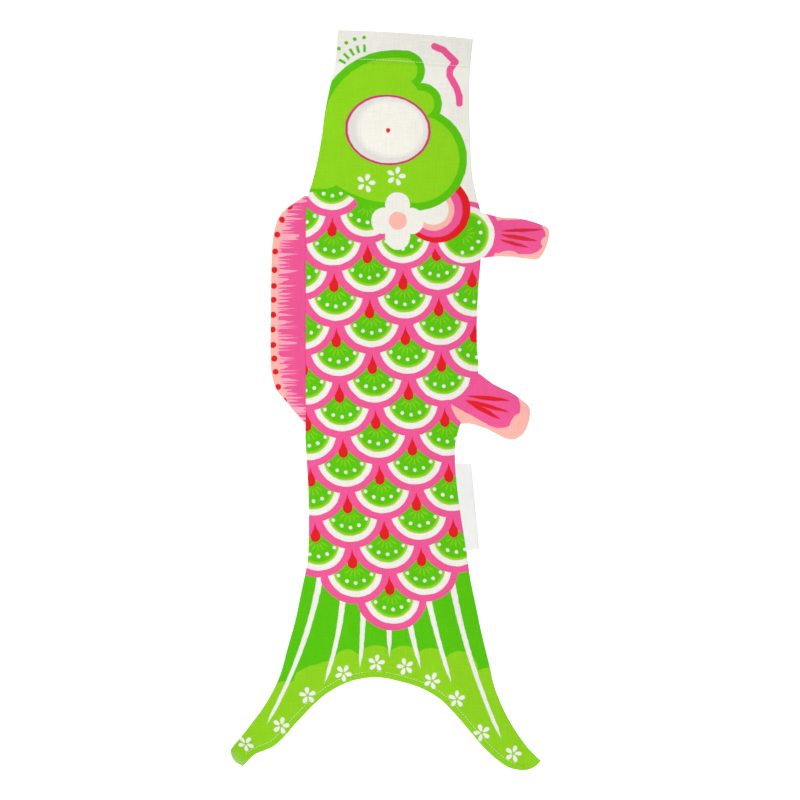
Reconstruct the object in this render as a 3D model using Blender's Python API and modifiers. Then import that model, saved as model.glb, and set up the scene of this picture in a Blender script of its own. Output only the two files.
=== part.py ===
"""Carp streamer: a hanging cotton windsock in the shape of a carp, head up.

The streamer hangs in the XZ plane with its mouth at the top. The origin is the
centre of the mouth rim, +X is the wearer's right as seen from the front, -Y is
the front, and +Z is up. A front and a back panel are joined by two side seams.
The tube bends at three lines, the forked tail's two lobes bend at oblique
lines, and the fins and the label swing about the seams that hold them.
"""

import math

import bmesh
import bpy
from mathutils import Matrix, Vector

# ---- driving dimensions, metres ------------------------------------------
MM = 0.001
CLOTH = 0.5 * MM  # thickness of one layer of cloth
LAYER_GAP = 0.3 * MM  # between two layers that lie together
HALF_STEP = LAYER_GAP / 2 + CLOTH / 2  # a layer's middle, off the tube's middle plane
FULL_IN = 60 * MM  # the tube reaches its full depth this far in from a seam

HINGE_NECK_Z = -141 * MM  # below the head
HINGE_WAIST_Z = -390 * MM  # below the fins
HINGE_TAIL_Z = -511.5 * MM  # at the root of the tail
BEND_ROOM = 5.0 * MM  # cloth left out on each side of a body fold, for 60 degrees
LOBE_ROOM = 4.0 * MM  # the same at a tail lobe's fold, for 75 degrees
FIN_ROOM = 2.3 * MM  # between a fin's layers and its seam line

ARCH_TOP = (-25.5 * MM, -610 * MM)  # the crown of the fork
LOBE_SET = 12.35 * MM  # a lobe folds this far below the crown, along the lobe
LEFT_LOBE_WAY = (-0.568, -0.823)  # the way each lobe points, in X and Z
RIGHT_LOBE_WAY = (0.518, -0.8555)

CASING_DEPTH = 26 * MM  # the mouth hem, turned inside
CASING_IN = 18 * MM  # the turned layer stops this far from a seam
HOOP_R = 0.55 * MM  # springy wire
HOOP_Z = -3.0 * MM
SLEEVE_R = 1.0 * MM  # middle of its wall
SLEEVE_WALL = 0.25 * MM
SLEEVE_LENGTH = 16 * MM
CASING_ROOM = 3.2 * MM  # the casing stands open this far at the rim, for the hoop and its sleeve
SEAM_IN = 3.0 * MM  # the seam allowance starts this far in from the seam
SEAM_WIDE = 6.0 * MM
THREAD_R = 0.25 * MM
HEM_IN = 5.5 * MM  # the tail hem's thread, in from the cut edge

# half the tube's depth at heights down the streamer
DEPTH = ((20, 8.0), (0, 8.0), (-141, 8.0), (-300, 8.0), (-390, 7.0), (-511, 5.0), (-610, 3.4), (-700, 2.4), (-720, 2.4))

# the sewn outline, as X and Z in millimetres, from the mouth down
LEFT_EDGE = (
    (-64.5, 4), (-67, -28), (-72, -51), (-76.5, -73.5), (-79.5, -96.5), (-83.5, -119),
    (-88.5, -140), (-92.5, -153), (-94.5, -163), (-95, -172), (-95, -214), (-95, -290),
    (-95, -369), (-95, -385), (-93.5, -410), (-92, -442), (-92, -485), (-93.5, -503),
    (-99, -529.5), (-104.5, -556), (-112, -583), (-119.5, -609.5), (-133, -636),
    (-152.5, -662.5), (-166, -679),
)
RIGHT_EDGE = (
    (64.5, -4.5), (63, -16.5), (62, -28), (60.5, -52.5), (61, -81), (62, -109.5),
    (63.5, -134.5), (67.5, -153.5), (71, -168.5), (71.5, -212.5), (69.5, -237),
    (68, -266.5), (68, -295), (69.5, -316), (68.5, -326), (59.5, -351), (50, -377),
    (47, -394.5), (48.5, -423), (52, -451.5), (58, -490.5), (61.5, -516.5),
    (67, -543), (72.5, -569.5), (79, -596), (85.5, -622.5), (97.5, -649.5),
    (115, -676), (128.5, -690),
)
FORK = (
    (-154, -694.5), (-143, -684), (-123, -674), (-101.5, -651), (-80.5, -630),
    (-63, -618.5), (-46, -612), (-25.5, -610), (-4.5, -614), (15.5, -620.5),
    (33, -631), (48, -646), (62.5, -663), (75.5, -678), (89, -690), (98.5, -696),
    (109, -698.5),
)
LEFT_TIP = ((-166, -679), (-164.5, -685), (-160.5, -690.5), (-154, -694.5))
RIGHT_TIP = ((128.5, -690), (124, -694.5), (117, -698), (109, -698.5))

# each fin's free outline, from the top of its seam round to the bottom
LONG_FIN = (
    (-95, -152.5), (-101, -157), (-110.5, -163.5), (-119, -171.5), (-124, -184),
    (-126.5, -199.5), (-127.5, -223), (-128, -262.5), (-128, -314.5), (-125.5, -330),
    (-121, -339.5), (-113, -349), (-106.5, -357), (-95, -369.5),
)
UPPER_FIN = (
    (71, -169), (93, -174), (109, -175), (125.5, -179.5), (136, -185), (134.5, -199),
    (126.5, -213), (115, -213), (93, -210.5), (71.5, -212.5),
)
LOWER_FIN = (
    (70, -322), (85.5, -333.5), (101, -340.5), (111.5, -348), (117.5, -354),
    (118, -364), (113, -377.5), (104, -384.5), (94.5, -383.5), (85.5, -378.5),
    (73.5, -373), (60, -369.5), (52.5, -370),
)
LABEL = ((48.5, -407), (62.5, -407.5), (70, -489), (58, -490.5))

COLOURS = {
    "cotton": ((0.86, 0.84, 0.80, 1), 0.9, 0.0),
    "green": ((0.27, 0.62, 0.03, 1), 0.9, 0.0),
    "pink": ((0.87, 0.12, 0.30, 1), 0.9, 0.0),
    "thread": ((0.85, 0.84, 0.80, 1), 0.8, 0.0),
    "wire": ((0.55, 0.55, 0.56, 1), 0.35, 1.0),
    "sleeve": ((0.85, 0.85, 0.84, 1), 0.5, 0.0),
    "label": ((0.93, 0.93, 0.91, 1), 0.7, 0.0),
}

for old in list(bpy.data.objects):
    bpy.data.objects.remove(old, do_unlink=True)

streamer = bpy.data.collections.new("carp_streamer")
bpy.context.scene.collection.children.link(streamer)


# ---- curves in the plane of the cloth -------------------------------------
def smooth(points):
    """A curve through the points (a Catmull-Rom spline by chord length), as a function of 0 to 1."""
    p = [Vector((x, z)) for x, z in points]
    at = [0.0]
    for a, b in zip(p, p[1:]):
        at.append(at[-1] + (b - a).length)
    total = at[-1]

    def slope(i):
        a, b = max(i - 1, 0), min(i + 1, len(p) - 1)
        return (p[b] - p[a]) / (at[b] - at[a])

    def curve(t):
        d = min(max(t, 0.0), 1.0) * total
        i = 0
        while i < len(p) - 2 and at[i + 1] < d:
            i += 1
        h = at[i + 1] - at[i]
        s = (d - at[i]) / h
        m0, m1 = slope(i) * h, slope(i + 1) * h
        return (
            p[i] * (2 * s**3 - 3 * s**2 + 1)
            + m0 * (s**3 - 2 * s**2 + s)
            + p[i + 1] * (3 * s**2 - 2 * s**3)
            + m1 * (s**3 - s**2)
        )

    return curve


def metres(points):
    return [(x * MM, z * MM) for x, z in points]


left_edge = smooth(metres(LEFT_EDGE))
right_edge = smooth(metres(RIGHT_EDGE))
fork = smooth(metres(FORK))


def find(curve, side, lo=0.0, hi=1.0):
    """The parameter between lo and hi where side(point) changes sign."""
    a = side(curve(lo))
    for _ in range(60):
        mid = (lo + hi) / 2
        if (side(curve(mid)) > 0) == (a > 0):
            lo = mid
        else:
            hi = mid
    return (lo + hi) / 2


def stretch(curve, a, b):
    """The part of a curve from parameter a to b, as a function of 0 to 1."""
    return lambda t: curve(a + (b - a) * t)


def line(a, b):
    a, b = Vector(a), Vector(b)
    return lambda t: a + (b - a) * t


def edge_x(curve, z):
    return curve(find(curve, lambda p: p.y - z)).x


def table(z, stations):
    for (z0, d0), (z1, d1) in zip(stations, stations[1:]):
        if z >= z1:
            s = (z - z0) / (z1 - z0)
            return d0 + (d1 - d0) * s
    return stations[-1][1]


def depth(x, z):
    """How far a layer stands off the middle plane, beyond its flat place: nothing at a seam, and full FULL_IN from it."""
    top, low = -4.5 * MM, -679 * MM
    zz = min(max(z, low), top)
    inside = min(x - edge_x(left_edge, zz), edge_x(right_edge, zz) - x)
    q = min(max(inside / FULL_IN, 0.0), 1.0)
    return table(z / MM, DEPTH) * MM * (1 - (1 - q) ** 2)


def coons(top, bottom, left, right):
    """A patch between four curves: top and bottom run left to right, left and right run down."""

    def patch(s, t):
        tl, tr, bl, br = top(0), top(1), bottom(0), bottom(1)
        return (
            top(s) * (1 - t)
            + bottom(s) * t
            + left(t) * (1 - s)
            + right(t) * s
            - (tl * (1 - t) * (1 - s) + tr * (1 - t) * s + bl * t * (1 - s) + br * t * s)
        )

    return patch


# ---- solids ----------------------------------------------------------------
def material(name, slot):
    made = bpy.data.materials.new(name)
    made.use_nodes = True
    colour, roughness, metallic = COLOURS[slot]
    shader = made.node_tree.nodes["Principled BSDF"]
    shader.inputs["Base Color"].default_value = colour
    shader.inputs["Roughness"].default_value = roughness
    shader.inputs["Metallic"].default_value = metallic
    made.diffuse_color = colour
    return made


def place(obj, slot, carrier=None):
    streamer.objects.link(obj)
    obj.data.materials.append(material(obj.name, slot))
    if carrier is not None:
        obj.parent = carrier
        obj.matrix_parent_inverse = carrier.matrix_world.inverted()
    return obj


def carrier(name, at):
    """An empty on a joint's axis, which the moving pieces are parented to."""
    empty = bpy.data.objects.new(name, None)
    empty.empty_display_size = 0.01
    empty.matrix_world = Matrix.Translation(at)
    streamer.objects.link(empty)
    return empty


def cloth(name, patch, off, columns, rows, slot, parent=None, thick=CLOTH, even=True):
    """A layer of cloth: a grid laid over patch(s, t) in X and Z, stood off(x, z, s, t) in Y, with Solidify."""
    mesh = bpy.data.meshes.new(name)
    grid = bmesh.new()
    bmesh.ops.create_grid(grid, x_segments=columns, y_segments=rows, size=0.5)
    for v in grid.verts:
        s, t = v.co.x + 0.5, 0.5 - v.co.y
        s = 0.5 - 0.5 * math.cos(math.pi * s) if even else s
        p = patch(s, t)
        v.co = (p.x, off(p.x, p.y, s, t), p.y)
    grid.to_mesh(mesh)
    grid.free()
    obj = bpy.data.objects.new(name, mesh)
    place(obj, slot, parent)
    shell = obj.modifiers.new("cloth", "SOLIDIFY")
    shell.thickness = thick
    shell.offset = 0
    mesh.shade_smooth()
    mesh.set_sharp_from_angle(angle=math.radians(40))
    return obj


def front(x, z, s=0, t=0):
    return -(HALF_STEP + depth(x, z))


def back(x, z, s=0, t=0):
    return HALF_STEP + depth(x, z)


def tube(name, points, radius, slot, parent=None, closed=False, sides=1):
    """A thread or wire: a poly curve with a round bevel and filled caps."""
    data = bpy.data.curves.new(name, "CURVE")
    data.dimensions = "3D"
    spline = data.splines.new("POLY")
    spline.points.add(len(points) - 1)
    for q, co in zip(spline.points, points):
        q.co = (*co, 1)
    spline.use_cyclic_u = closed
    data.bevel_depth = radius
    data.bevel_resolution = sides
    data.use_fill_caps = not closed
    return place(bpy.data.objects.new(name, data), slot, parent)


def across(z):
    return line((edge_x(left_edge, z), z), (edge_x(right_edge, z), z))


def band(z_top, z_low):
    """The tube's front between two heights, seam to seam."""
    sides = []
    for edge in (left_edge, right_edge):
        a = find(edge, lambda p: p.y - z_top)
        b = find(edge, lambda p: p.y - z_low)
        sides.append(stretch(edge, a, b))
    return coons(across(z_top), across(z_low), *sides)


def seam_strip(name, edge, inward, a, b, parent, slot="cotton", rows=10):
    """The seam allowance inside the tube: a narrow strip beside the seam, between parameters a and b of its edge."""

    def patch(s, t):
        u = a + (b - a) * t
        p = edge(u)
        return Vector((p.x + inward * (SEAM_IN + SEAM_WIDE * s), p.y))

    return cloth(name, patch, lambda *_: 0.0, 1, rows, slot, parent, even=False)


# ---- head: held at the mouth ------------------------------------------------
neck_top = HINGE_NECK_Z + BEND_ROOM
a_left = find(left_edge, lambda p: p.y - neck_top)
a_right = find(right_edge, lambda p: p.y - neck_top)
rim = line(left_edge(0), right_edge(0))
head = coons(rim, across(neck_top), stretch(left_edge, 0, a_left), stretch(right_edge, 0, a_right))
cloth("head_front_panel", head, front, 14, 9, "green")
cloth("head_back_panel", head, back, 14, 9, "green")


def rim_z(x):
    """Height of the slightly sloping mouth rim."""
    a, b = left_edge(0), right_edge(0)
    return a.y + (b.y - a.y) * (x - a.x) / (b.x - a.x)


def casing(s, t):
    """The turned layer of the mouth hem, which lies inside a panel."""
    z_mid = -CASING_DEPTH * t
    x0 = edge_x(left_edge, min(z_mid, -4.5 * MM)) + CASING_IN
    x1 = edge_x(right_edge, min(z_mid, -4.5 * MM)) - CASING_IN
    x = x0 + (x1 - x0) * s
    return Vector((x, rim_z(x) - 0.6 * MM + z_mid))


def casing_off(side):
    def off(x, z, s, t):
        """Close to the panel at the stitching, and clear of it at the rim, where the hoop runs."""
        apart = CLOTH + LAYER_GAP + CASING_ROOM * max(0.0, 1 - t / 0.6)
        return side * (HALF_STEP + depth(x, z) - apart)

    return off


cloth("mouth_hem_front", casing, casing_off(-1), 12, 5, "cotton", even=False)
cloth("mouth_hem_back", casing, casing_off(1), 12, 5, "cotton", even=False)

# hoop: along the front casing, round, and back along the back casing
hoop_in = CLOTH / 2 + LAYER_GAP + SLEEVE_R + SLEEVE_WALL / 2


def hoop_y(x):
    z = rim_z(x) + HOOP_Z
    return HALF_STEP + depth(x, z) - hoop_in


hoop_left = left_edge(0).x + 9 * MM
hoop_right = right_edge(0).x - 9 * MM
HOOP_GAP = 1.0 * MM  # between the wire's two ends, inside the sleeve


def hoop_run(x0, x1, side, count):
    """Points along the casing from x0 to x1, closer together towards the ends."""
    for i in range(count + 1):
        x = x0 + (x1 - x0) * (0.5 - 0.5 * math.cos(math.pi * i / count))
        yield x, side * hoop_y(x), rim_z(x) + HOOP_Z


def hoop_turn(x0, start):
    """A half turn between the two casings at one end of the mouth, from the angle start."""
    bend = hoop_y(x0)
    for i in range(1, 6):
        turn = start + math.pi * i / 6
        x = x0 + bend * math.cos(turn)
        yield x, bend * math.sin(turn), rim_z(x) + HOOP_Z


loop = [
    *hoop_run(-HOOP_GAP / 2, hoop_left, 1, 17),
    *hoop_turn(hoop_left, math.pi / 2),
    *hoop_run(hoop_left, hoop_right, -1, 30),
    *hoop_turn(hoop_right, -math.pi / 2),
    *hoop_run(hoop_right, HOOP_GAP / 2, 1, 17),
]
tube("mouth_hoop", loop, HOOP_R, "wire", sides=1)

# the sleeve over the wire's two ends: a short open cylinder with a wall
sleeve_mesh = bpy.data.meshes.new("hoop_sleeve")
pipe = bmesh.new()
bmesh.ops.create_cone(pipe, cap_ends=False, segments=16, radius1=SLEEVE_R, radius2=SLEEVE_R, depth=SLEEVE_LENGTH)
pipe.to_mesh(sleeve_mesh)
pipe.free()
sleeve = place(bpy.data.objects.new("hoop_sleeve", sleeve_mesh), "sleeve")
sleeve.location = (0, hoop_y(0), rim_z(0) + HOOP_Z)
sleeve.rotation_euler = (0, math.pi / 2 - math.atan((rim_z(1) - rim_z(0)) / 1.0), 0)
wall = sleeve.modifiers.new("wall", "SOLIDIFY")
wall.thickness = SLEEVE_WALL
wall.offset = 0
sleeve_mesh.shade_smooth()
sleeve_mesh.set_sharp_from_angle(angle=math.radians(40))

# thread round the mouth, just outside the panels at the foot of the casing
proud = HALF_STEP + CLOTH / 2 + 0.1 * MM + THREAD_R
ring = []
for side in (-1, 1):
    for i in range(23):
        s = i / 22 if side < 0 else 1 - i / 22
        z0 = -CASING_DEPTH
        x0, x1 = edge_x(left_edge, z0) + 1.5 * MM, edge_x(right_edge, z0) - 1.5 * MM
        x = x0 + (x1 - x0) * (0.5 - 0.5 * math.cos(math.pi * s))
        z = rim_z(x) - CASING_DEPTH - 1 * MM
        ring.append((x, side * (proud + depth(x, z)), z))
half = len(ring) // 2
tube("mouth_hem_thread_front", ring[:half], THREAD_R, "thread", sides=0)
tube("mouth_hem_thread_back", ring[half:], THREAD_R, "thread", sides=0)

below_casing = find(left_edge, lambda p: p.y + CASING_DEPTH + 4 * MM)
seam_strip("head_left_seam", left_edge, 1, below_casing, find(left_edge, lambda p: p.y - HINGE_NECK_Z - 0.5 * MM), None)
below_casing = find(right_edge, lambda p: p.y + CASING_DEPTH + 8 * MM)
seam_strip("head_right_seam", right_edge, -1, below_casing, find(right_edge, lambda p: p.y - HINGE_NECK_Z - 0.5 * MM), None)


# ---- the two lengths of body --------------------------------------------------
def length_of_tube(name, z_top, z_low, rows, slot, parent, room_low=BEND_ROOM):
    patch = band(z_top - BEND_ROOM, z_low + room_low)
    cloth(name + "_front_panel", patch, front, 14, rows, slot, parent)
    cloth(name + "_back_panel", patch, back, 14, rows, slot, parent)
    for side, edge, inward in (("left", left_edge, 1), ("right", right_edge, -1)):
        a = find(edge, lambda p: p.y - z_top + 0.5 * MM)
        b = find(edge, lambda p: p.y - z_low - 0.5 * MM)
        seam_strip(f"{name}_{side}_seam", edge, inward, a, b, parent, rows=14)


neck = carrier("neck_axis", (0, 0, HINGE_NECK_Z))
waist = carrier("waist_axis", (0, 0, HINGE_WAIST_Z))
waist.parent = neck
waist.matrix_parent_inverse = neck.matrix_world.inverted()
tail = carrier("tail_axis", (0, 0, HINGE_TAIL_Z))
tail.parent = waist
bpy.context.view_layer.update()
tail.matrix_parent_inverse = waist.matrix_world.inverted()
bpy.context.view_layer.update()

length_of_tube("mid_body", HINGE_NECK_Z, HINGE_WAIST_Z, 12, "pink", neck)
length_of_tube("rear_body", HINGE_WAIST_Z, HINGE_TAIL_Z, 7, "pink", waist)

# ---- tail root and lobes --------------------------------------------------------
left_way, right_way = Vector(LEFT_LOBE_WAY).normalized(), Vector(RIGHT_LOBE_WAY).normalized()
crown = Vector(ARCH_TOP)
left_fold = crown + left_way * LOBE_SET
right_fold = crown + right_way * LOBE_SET
crown_at = find(fork, lambda p: p.x - crown.x)


def beyond(fold, way, room):
    """Signed distance past a lobe's fold line, moved along the lobe by room."""
    return lambda p: (p - fold).dot(way) - room


def crossings(edge, fold, way, room, fork_lo, fork_hi):
    side = beyond(fold, way, room)
    return find(edge, side, 0.5, 1.0), find(fork, side, fork_lo, fork_hi)


left_root = crossings(left_edge, left_fold, left_way, -LOBE_ROOM, 0.0, crown_at)
right_root = crossings(right_edge, right_fold, right_way, -LOBE_ROOM, crown_at, 1.0)


def chain(points_and_curves):
    """Several curves end to end as one function of 0 to 1, shared out by the given stops."""

    def curve(t):
        for (lo, hi), part in points_and_curves:
            if t <= hi:
                return part((t - lo) / (hi - lo))
        return points_and_curves[-1][1](1)

    return curve


root_low = chain(
    (
        ((0.0, 0.38), line(left_edge(left_root[0]), fork(left_root[1]))),
        ((0.38, 0.62), stretch(fork, left_root[1], right_root[1])),
        ((0.62, 1.0), line(fork(right_root[1]), right_edge(right_root[0]))),
    )
)
tail_top = HINGE_TAIL_Z - BEND_ROOM
root_sides = []
for edge, low in ((left_edge, left_root[0]), (right_edge, right_root[0])):
    root_sides.append(stretch(edge, find(edge, lambda p: p.y - tail_top), low))
root = coons(across(tail_top), root_low, *root_sides)
cloth("tail_root_front_panel", root, front, 25, 8, "green", tail, even=False)
cloth("tail_root_back_panel", root, back, 25, 8, "green", tail, even=False)
for side, edge, inward, low in (("left", left_edge, 1, left_root[0]), ("right", right_edge, -1, right_root[0])):
    a = find(edge, lambda p: p.y - HINGE_TAIL_Z + 0.5 * MM)
    seam_strip(f"tail_root_{side}_seam", edge, inward, a, low, tail)


def hem_line(a, b, side, count):
    """Points along the fork's hem thread, HEM_IN from the cut edge, just outside a panel."""
    out = []
    for i in range(count):
        t = a + (b - a) * i / (count - 1)
        p, q = fork(t), fork(min(t + 0.002, 1.0)) - fork(max(t - 0.002, 0.0))
        q.normalize()
        n = Vector((-q.y, q.x))
        p = p + n * HEM_IN
        out.append((p.x, side * (HALF_STEP + depth(p.x, p.y) + CLOTH / 2 + 0.12 * MM + THREAD_R), p.y))
    return out


for side, word in ((-1, "front"), (1, "back")):
    tube(f"tail_root_hem_thread_{word}", hem_line(left_root[1] + 0.02, right_root[1] - 0.02, side, 14), THREAD_R, "thread", tail, sides=0)

left_lobe_axis = carrier("left_lobe_axis", (left_fold.x, 0, left_fold.y))
right_lobe_axis = carrier("right_lobe_axis", (right_fold.x, 0, right_fold.y))
for one in (left_lobe_axis, right_lobe_axis):
    one.parent = tail
    one.matrix_parent_inverse = tail.matrix_world.inverted()
bpy.context.view_layer.update()

left_start = crossings(left_edge, left_fold, left_way, LOBE_ROOM, 0.0, crown_at)
right_start = crossings(right_edge, right_fold, right_way, LOBE_ROOM, crown_at, 1.0)
left_lobe = coons(
    line(left_edge(left_start[0]), fork(left_start[1])),
    smooth(metres(LEFT_TIP)),
    stretch(left_edge, left_start[0], 1),
    stretch(fork, left_start[1], 0),
)
right_lobe = coons(
    line(fork(right_start[1]), right_edge(right_start[0])),
    smooth(metres(RIGHT_TIP[::-1])),
    stretch(fork, right_start[1], 1),
    stretch(right_edge, right_start[0], 1),
)
for word, patch, parent in (("left", left_lobe, left_lobe_axis), ("right", right_lobe, right_lobe_axis)):
    cloth(f"{word}_lobe_front_panel", patch, front, 9, 9, "green", parent, even=False)
    cloth(f"{word}_lobe_back_panel", patch, back, 9, 9, "green", parent, even=False)
seam_strip("left_lobe_seam", left_edge, 1, left_start[0], 0.985, left_lobe_axis, rows=8)
seam_strip("right_lobe_seam", right_edge, -1, right_start[0], 0.985, right_lobe_axis, rows=8)
for side, word in ((-1, "front"), (1, "back")):
    tube(f"left_lobe_hem_thread_{word}", hem_line(0.03, left_start[1] - 0.02, side, 14), THREAD_R, "thread", left_lobe_axis, sides=0)
    tube(f"right_lobe_hem_thread_{word}", hem_line(right_start[1] + 0.02, 0.97, side, 14), THREAD_R, "thread", right_lobe_axis, sides=0)


# ---- fins and label ---------------------------------------------------------------
def fin(name, outline, columns, rows, slot, parent):
    """Two layers between a straight seam line and the free outline, a little plump between them."""
    pts = metres(outline)
    free = smooth(pts)
    a, b = Vector(pts[0]), Vector(pts[-1])
    along = (b - a).normalized()
    out = Vector((-along.y, along.x))
    if out.x * (1 if a.x > 0 else -1) < 0:
        out = -out

    def patch(s, t):
        """s runs from the seam line to the free edge."""
        lo, hi = 0.06, 0.94
        u = lo + (hi - lo) * t
        edge = free(u)
        foot = a + along * max(0.0, min((edge - a).dot(along), (b - a).length))
        foot = foot * 0.35 + (a + (b - a) * u) * 0.65 + out * FIN_ROOM
        return foot + (edge - foot) * s

    for side, word in ((-1, "front"), (1, "back")):
        cloth(
            f"{name}_{word}_layer",
            patch,
            lambda x, z, s, t, side=side: side * (HALF_STEP + 1.2 * MM * 4 * max(0.0, min(s, 1 - s)) * 2 * max(0.0, min(t, 1 - t))),
            columns,
            rows,
            slot,
            parent,
            even=False,
        )


def child_axis(name, outline, parent):
    x = (outline[0][0] + outline[-1][0]) / 2 * MM
    z = (outline[0][1] + outline[-1][1]) / 2 * MM
    made = carrier(name, (x, 0, z))
    made.parent = parent
    made.matrix_parent_inverse = parent.matrix_world.inverted()
    bpy.context.view_layer.update()
    return made


fin("long_fin", LONG_FIN, 4, 16, "pink", child_axis("long_fin_axis", LONG_FIN, neck))
fin("upper_fin", UPPER_FIN, 6, 10, "pink", child_axis("upper_fin_axis", UPPER_FIN, neck))
fin("lower_fin", LOWER_FIN, 6, 12, "pink", child_axis("lower_fin_axis", LOWER_FIN, neck))

label_axis = child_axis("label_axis", (LABEL[0], LABEL[3]), waist)
corners = [Vector(p) for p in metres(LABEL)]


def label_patch(s, t):
    """s runs out along the front, over the fold at the outer edge and back along the back."""
    across_label = 1 - abs(2 * s - 1)
    top = corners[0] + (corners[1] - corners[0]) * across_label
    low = corners[3] + (corners[2] - corners[3]) * across_label
    p = top + (low - top) * t
    return p + Vector((FIN_ROOM, 0)) * (1 - across_label)


def label_off(x, z, s, t):
    """A closed-up U: two layers a little apart, joined by a round fold."""
    wide = 14 * MM
    from_fold = abs(2 * s - 1) * wide
    r = 0.7 * MM
    open_by = r if from_fold > r else math.sqrt(max(0.0, r * r - (r - from_fold) ** 2))
    return (-1 if s < 0.5 else 1) * open_by if abs(s - 0.5) > 1e-6 else 0.0


def label(name, parent):
    mesh = bpy.data.meshes.new(name)
    grid = bmesh.new()
    stops = [0, 0.2, 0.35, 0.45, 0.475, 0.4875, 0.5, 0.5125, 0.525, 0.55, 0.65, 0.8, 1]
    bmesh.ops.create_grid(grid, x_segments=len(stops) - 1, y_segments=8, size=0.5)
    for v in grid.verts:
        s, t = stops[round((v.co.x + 0.5) * (len(stops) - 1))], 0.5 - v.co.y
        p = label_patch(s, t)
        v.co = (p.x, label_off(p.x, p.y, s, t), p.y)
    grid.to_mesh(mesh)
    grid.free()
    obj = bpy.data.objects.new(name, mesh)
    place(obj, "label", parent)
    shell = obj.modifiers.new("cloth", "SOLIDIFY")
    shell.thickness = 0.4 * MM
    shell.offset = 0
    mesh.shade_smooth()


label("woven_label", label_axis)

bpy.context.view_layer.update()
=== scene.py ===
"""Carp streamer: a hanging cotton windsock in the shape of a carp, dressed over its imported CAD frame.

The cloth is laid as fine sheets over the same outline as the frame, folded at the mouth and
hemmed at the tail. Its print is drawn by shader nodes in art units: a 0.95 mm drafting grid on
the cloth, x to the right and y down, with the mouth rim near y = 34.5.
"""

import math

import bmesh
import bpy
import numpy as np
from mathutils import Matrix, Vector, noise


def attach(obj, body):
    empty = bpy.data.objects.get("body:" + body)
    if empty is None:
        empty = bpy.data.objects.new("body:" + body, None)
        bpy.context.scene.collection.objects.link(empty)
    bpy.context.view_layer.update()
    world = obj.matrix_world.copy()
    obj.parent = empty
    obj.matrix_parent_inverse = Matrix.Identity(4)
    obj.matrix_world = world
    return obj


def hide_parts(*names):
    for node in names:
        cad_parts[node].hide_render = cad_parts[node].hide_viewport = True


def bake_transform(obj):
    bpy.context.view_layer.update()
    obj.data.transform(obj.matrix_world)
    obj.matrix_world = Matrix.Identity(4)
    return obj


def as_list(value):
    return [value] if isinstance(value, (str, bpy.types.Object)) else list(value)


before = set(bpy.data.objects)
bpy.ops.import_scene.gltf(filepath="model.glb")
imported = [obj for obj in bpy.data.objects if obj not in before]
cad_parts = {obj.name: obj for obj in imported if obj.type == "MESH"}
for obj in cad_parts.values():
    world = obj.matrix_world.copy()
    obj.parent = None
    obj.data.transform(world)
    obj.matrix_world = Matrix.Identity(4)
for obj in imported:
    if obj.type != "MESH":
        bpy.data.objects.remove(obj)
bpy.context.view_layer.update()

MM = 0.001
ART = 0.95 * MM  # one art unit
ART_X, ART_Y = 405.5, 34.5  # the frame's origin on the drafting grid

CLOTH = 0.5 * MM
LAYER_GAP = 0.3 * MM
HALF_STEP = LAYER_GAP / 2 + CLOTH / 2
OUTER = HALF_STEP + CLOTH / 2  # a panel's outer face at a seam, off the middle plane
FULL_IN = 60 * MM

ARCH_TOP = (-25.5 * MM, -610 * MM)
LEFT_WAY = Vector((-0.568, 0, -0.823)).normalized()
CASING_DEPTH, CASING_IN, CASING_ROOM = 26 * MM, 18 * MM, 3.2 * MM
HEM_IN = 5.5 * MM

# where one length of cloth ends and the next begins, away from every fold
CUT_CHEST, CUT_HIP, CUT_TAIL = -250 * MM, -450 * MM, -540 * MM

DEPTH = ((20, 8.0), (0, 8.0), (-141, 8.0), (-300, 8.0), (-390, 7.0), (-511, 5.0), (-610, 3.4), (-700, 2.4), (-720, 2.4))

LEFT_EDGE = (
    (-64.5, 4), (-67, -28), (-72, -51), (-76.5, -73.5), (-79.5, -96.5), (-83.5, -119),
    (-88.5, -140), (-92.5, -153), (-94.5, -163), (-95, -172), (-95, -214), (-95, -290),
    (-95, -369), (-95, -385), (-93.5, -410), (-92, -442), (-92, -485), (-93.5, -503),
    (-99, -529.5), (-104.5, -556), (-112, -583), (-119.5, -609.5), (-133, -636),
    (-152.5, -662.5), (-166, -679),
)
RIGHT_EDGE = (
    (64.5, -4.5), (63, -16.5), (62, -28), (60.5, -52.5), (61, -81), (62, -109.5),
    (63.5, -134.5), (67.5, -153.5), (71, -168.5), (71.5, -212.5), (69.5, -237),
    (68, -266.5), (68, -295), (69.5, -316), (68.5, -326), (59.5, -351), (50, -377),
    (47, -394.5), (48.5, -423), (52, -451.5), (58, -490.5), (61.5, -516.5),
    (67, -543), (72.5, -569.5), (79, -596), (85.5, -622.5), (97.5, -649.5),
    (115, -676), (128.5, -690),
)
FORK = (
    (-154, -694.5), (-143, -684), (-123, -674), (-101.5, -651), (-80.5, -630),
    (-63, -618.5), (-46, -612), (-25.5, -610), (-4.5, -614), (15.5, -620.5),
    (33, -631), (48, -646), (62.5, -663), (75.5, -678), (89, -690), (98.5, -696),
    (109, -698.5),
)
LEFT_TIP = ((-166, -679), (-164.5, -685), (-160.5, -690.5), (-154, -694.5))
RIGHT_TIP = ((128.5, -690), (124, -694.5), (117, -698), (109, -698.5))
LONG_FIN = (
    (-95, -152.5), (-101, -157), (-110.5, -163.5), (-119, -171.5), (-124, -184),
    (-126.5, -199.5), (-127.5, -223), (-128, -262.5), (-128, -314.5), (-125.5, -330),
    (-121, -339.5), (-113, -349), (-106.5, -357), (-95, -369.5),
)
UPPER_FIN = (
    (71, -169), (93, -174), (109, -175), (125.5, -179.5), (136, -185), (134.5, -199),
    (126.5, -213), (115, -213), (93, -210.5), (71.5, -212.5),
)
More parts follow.
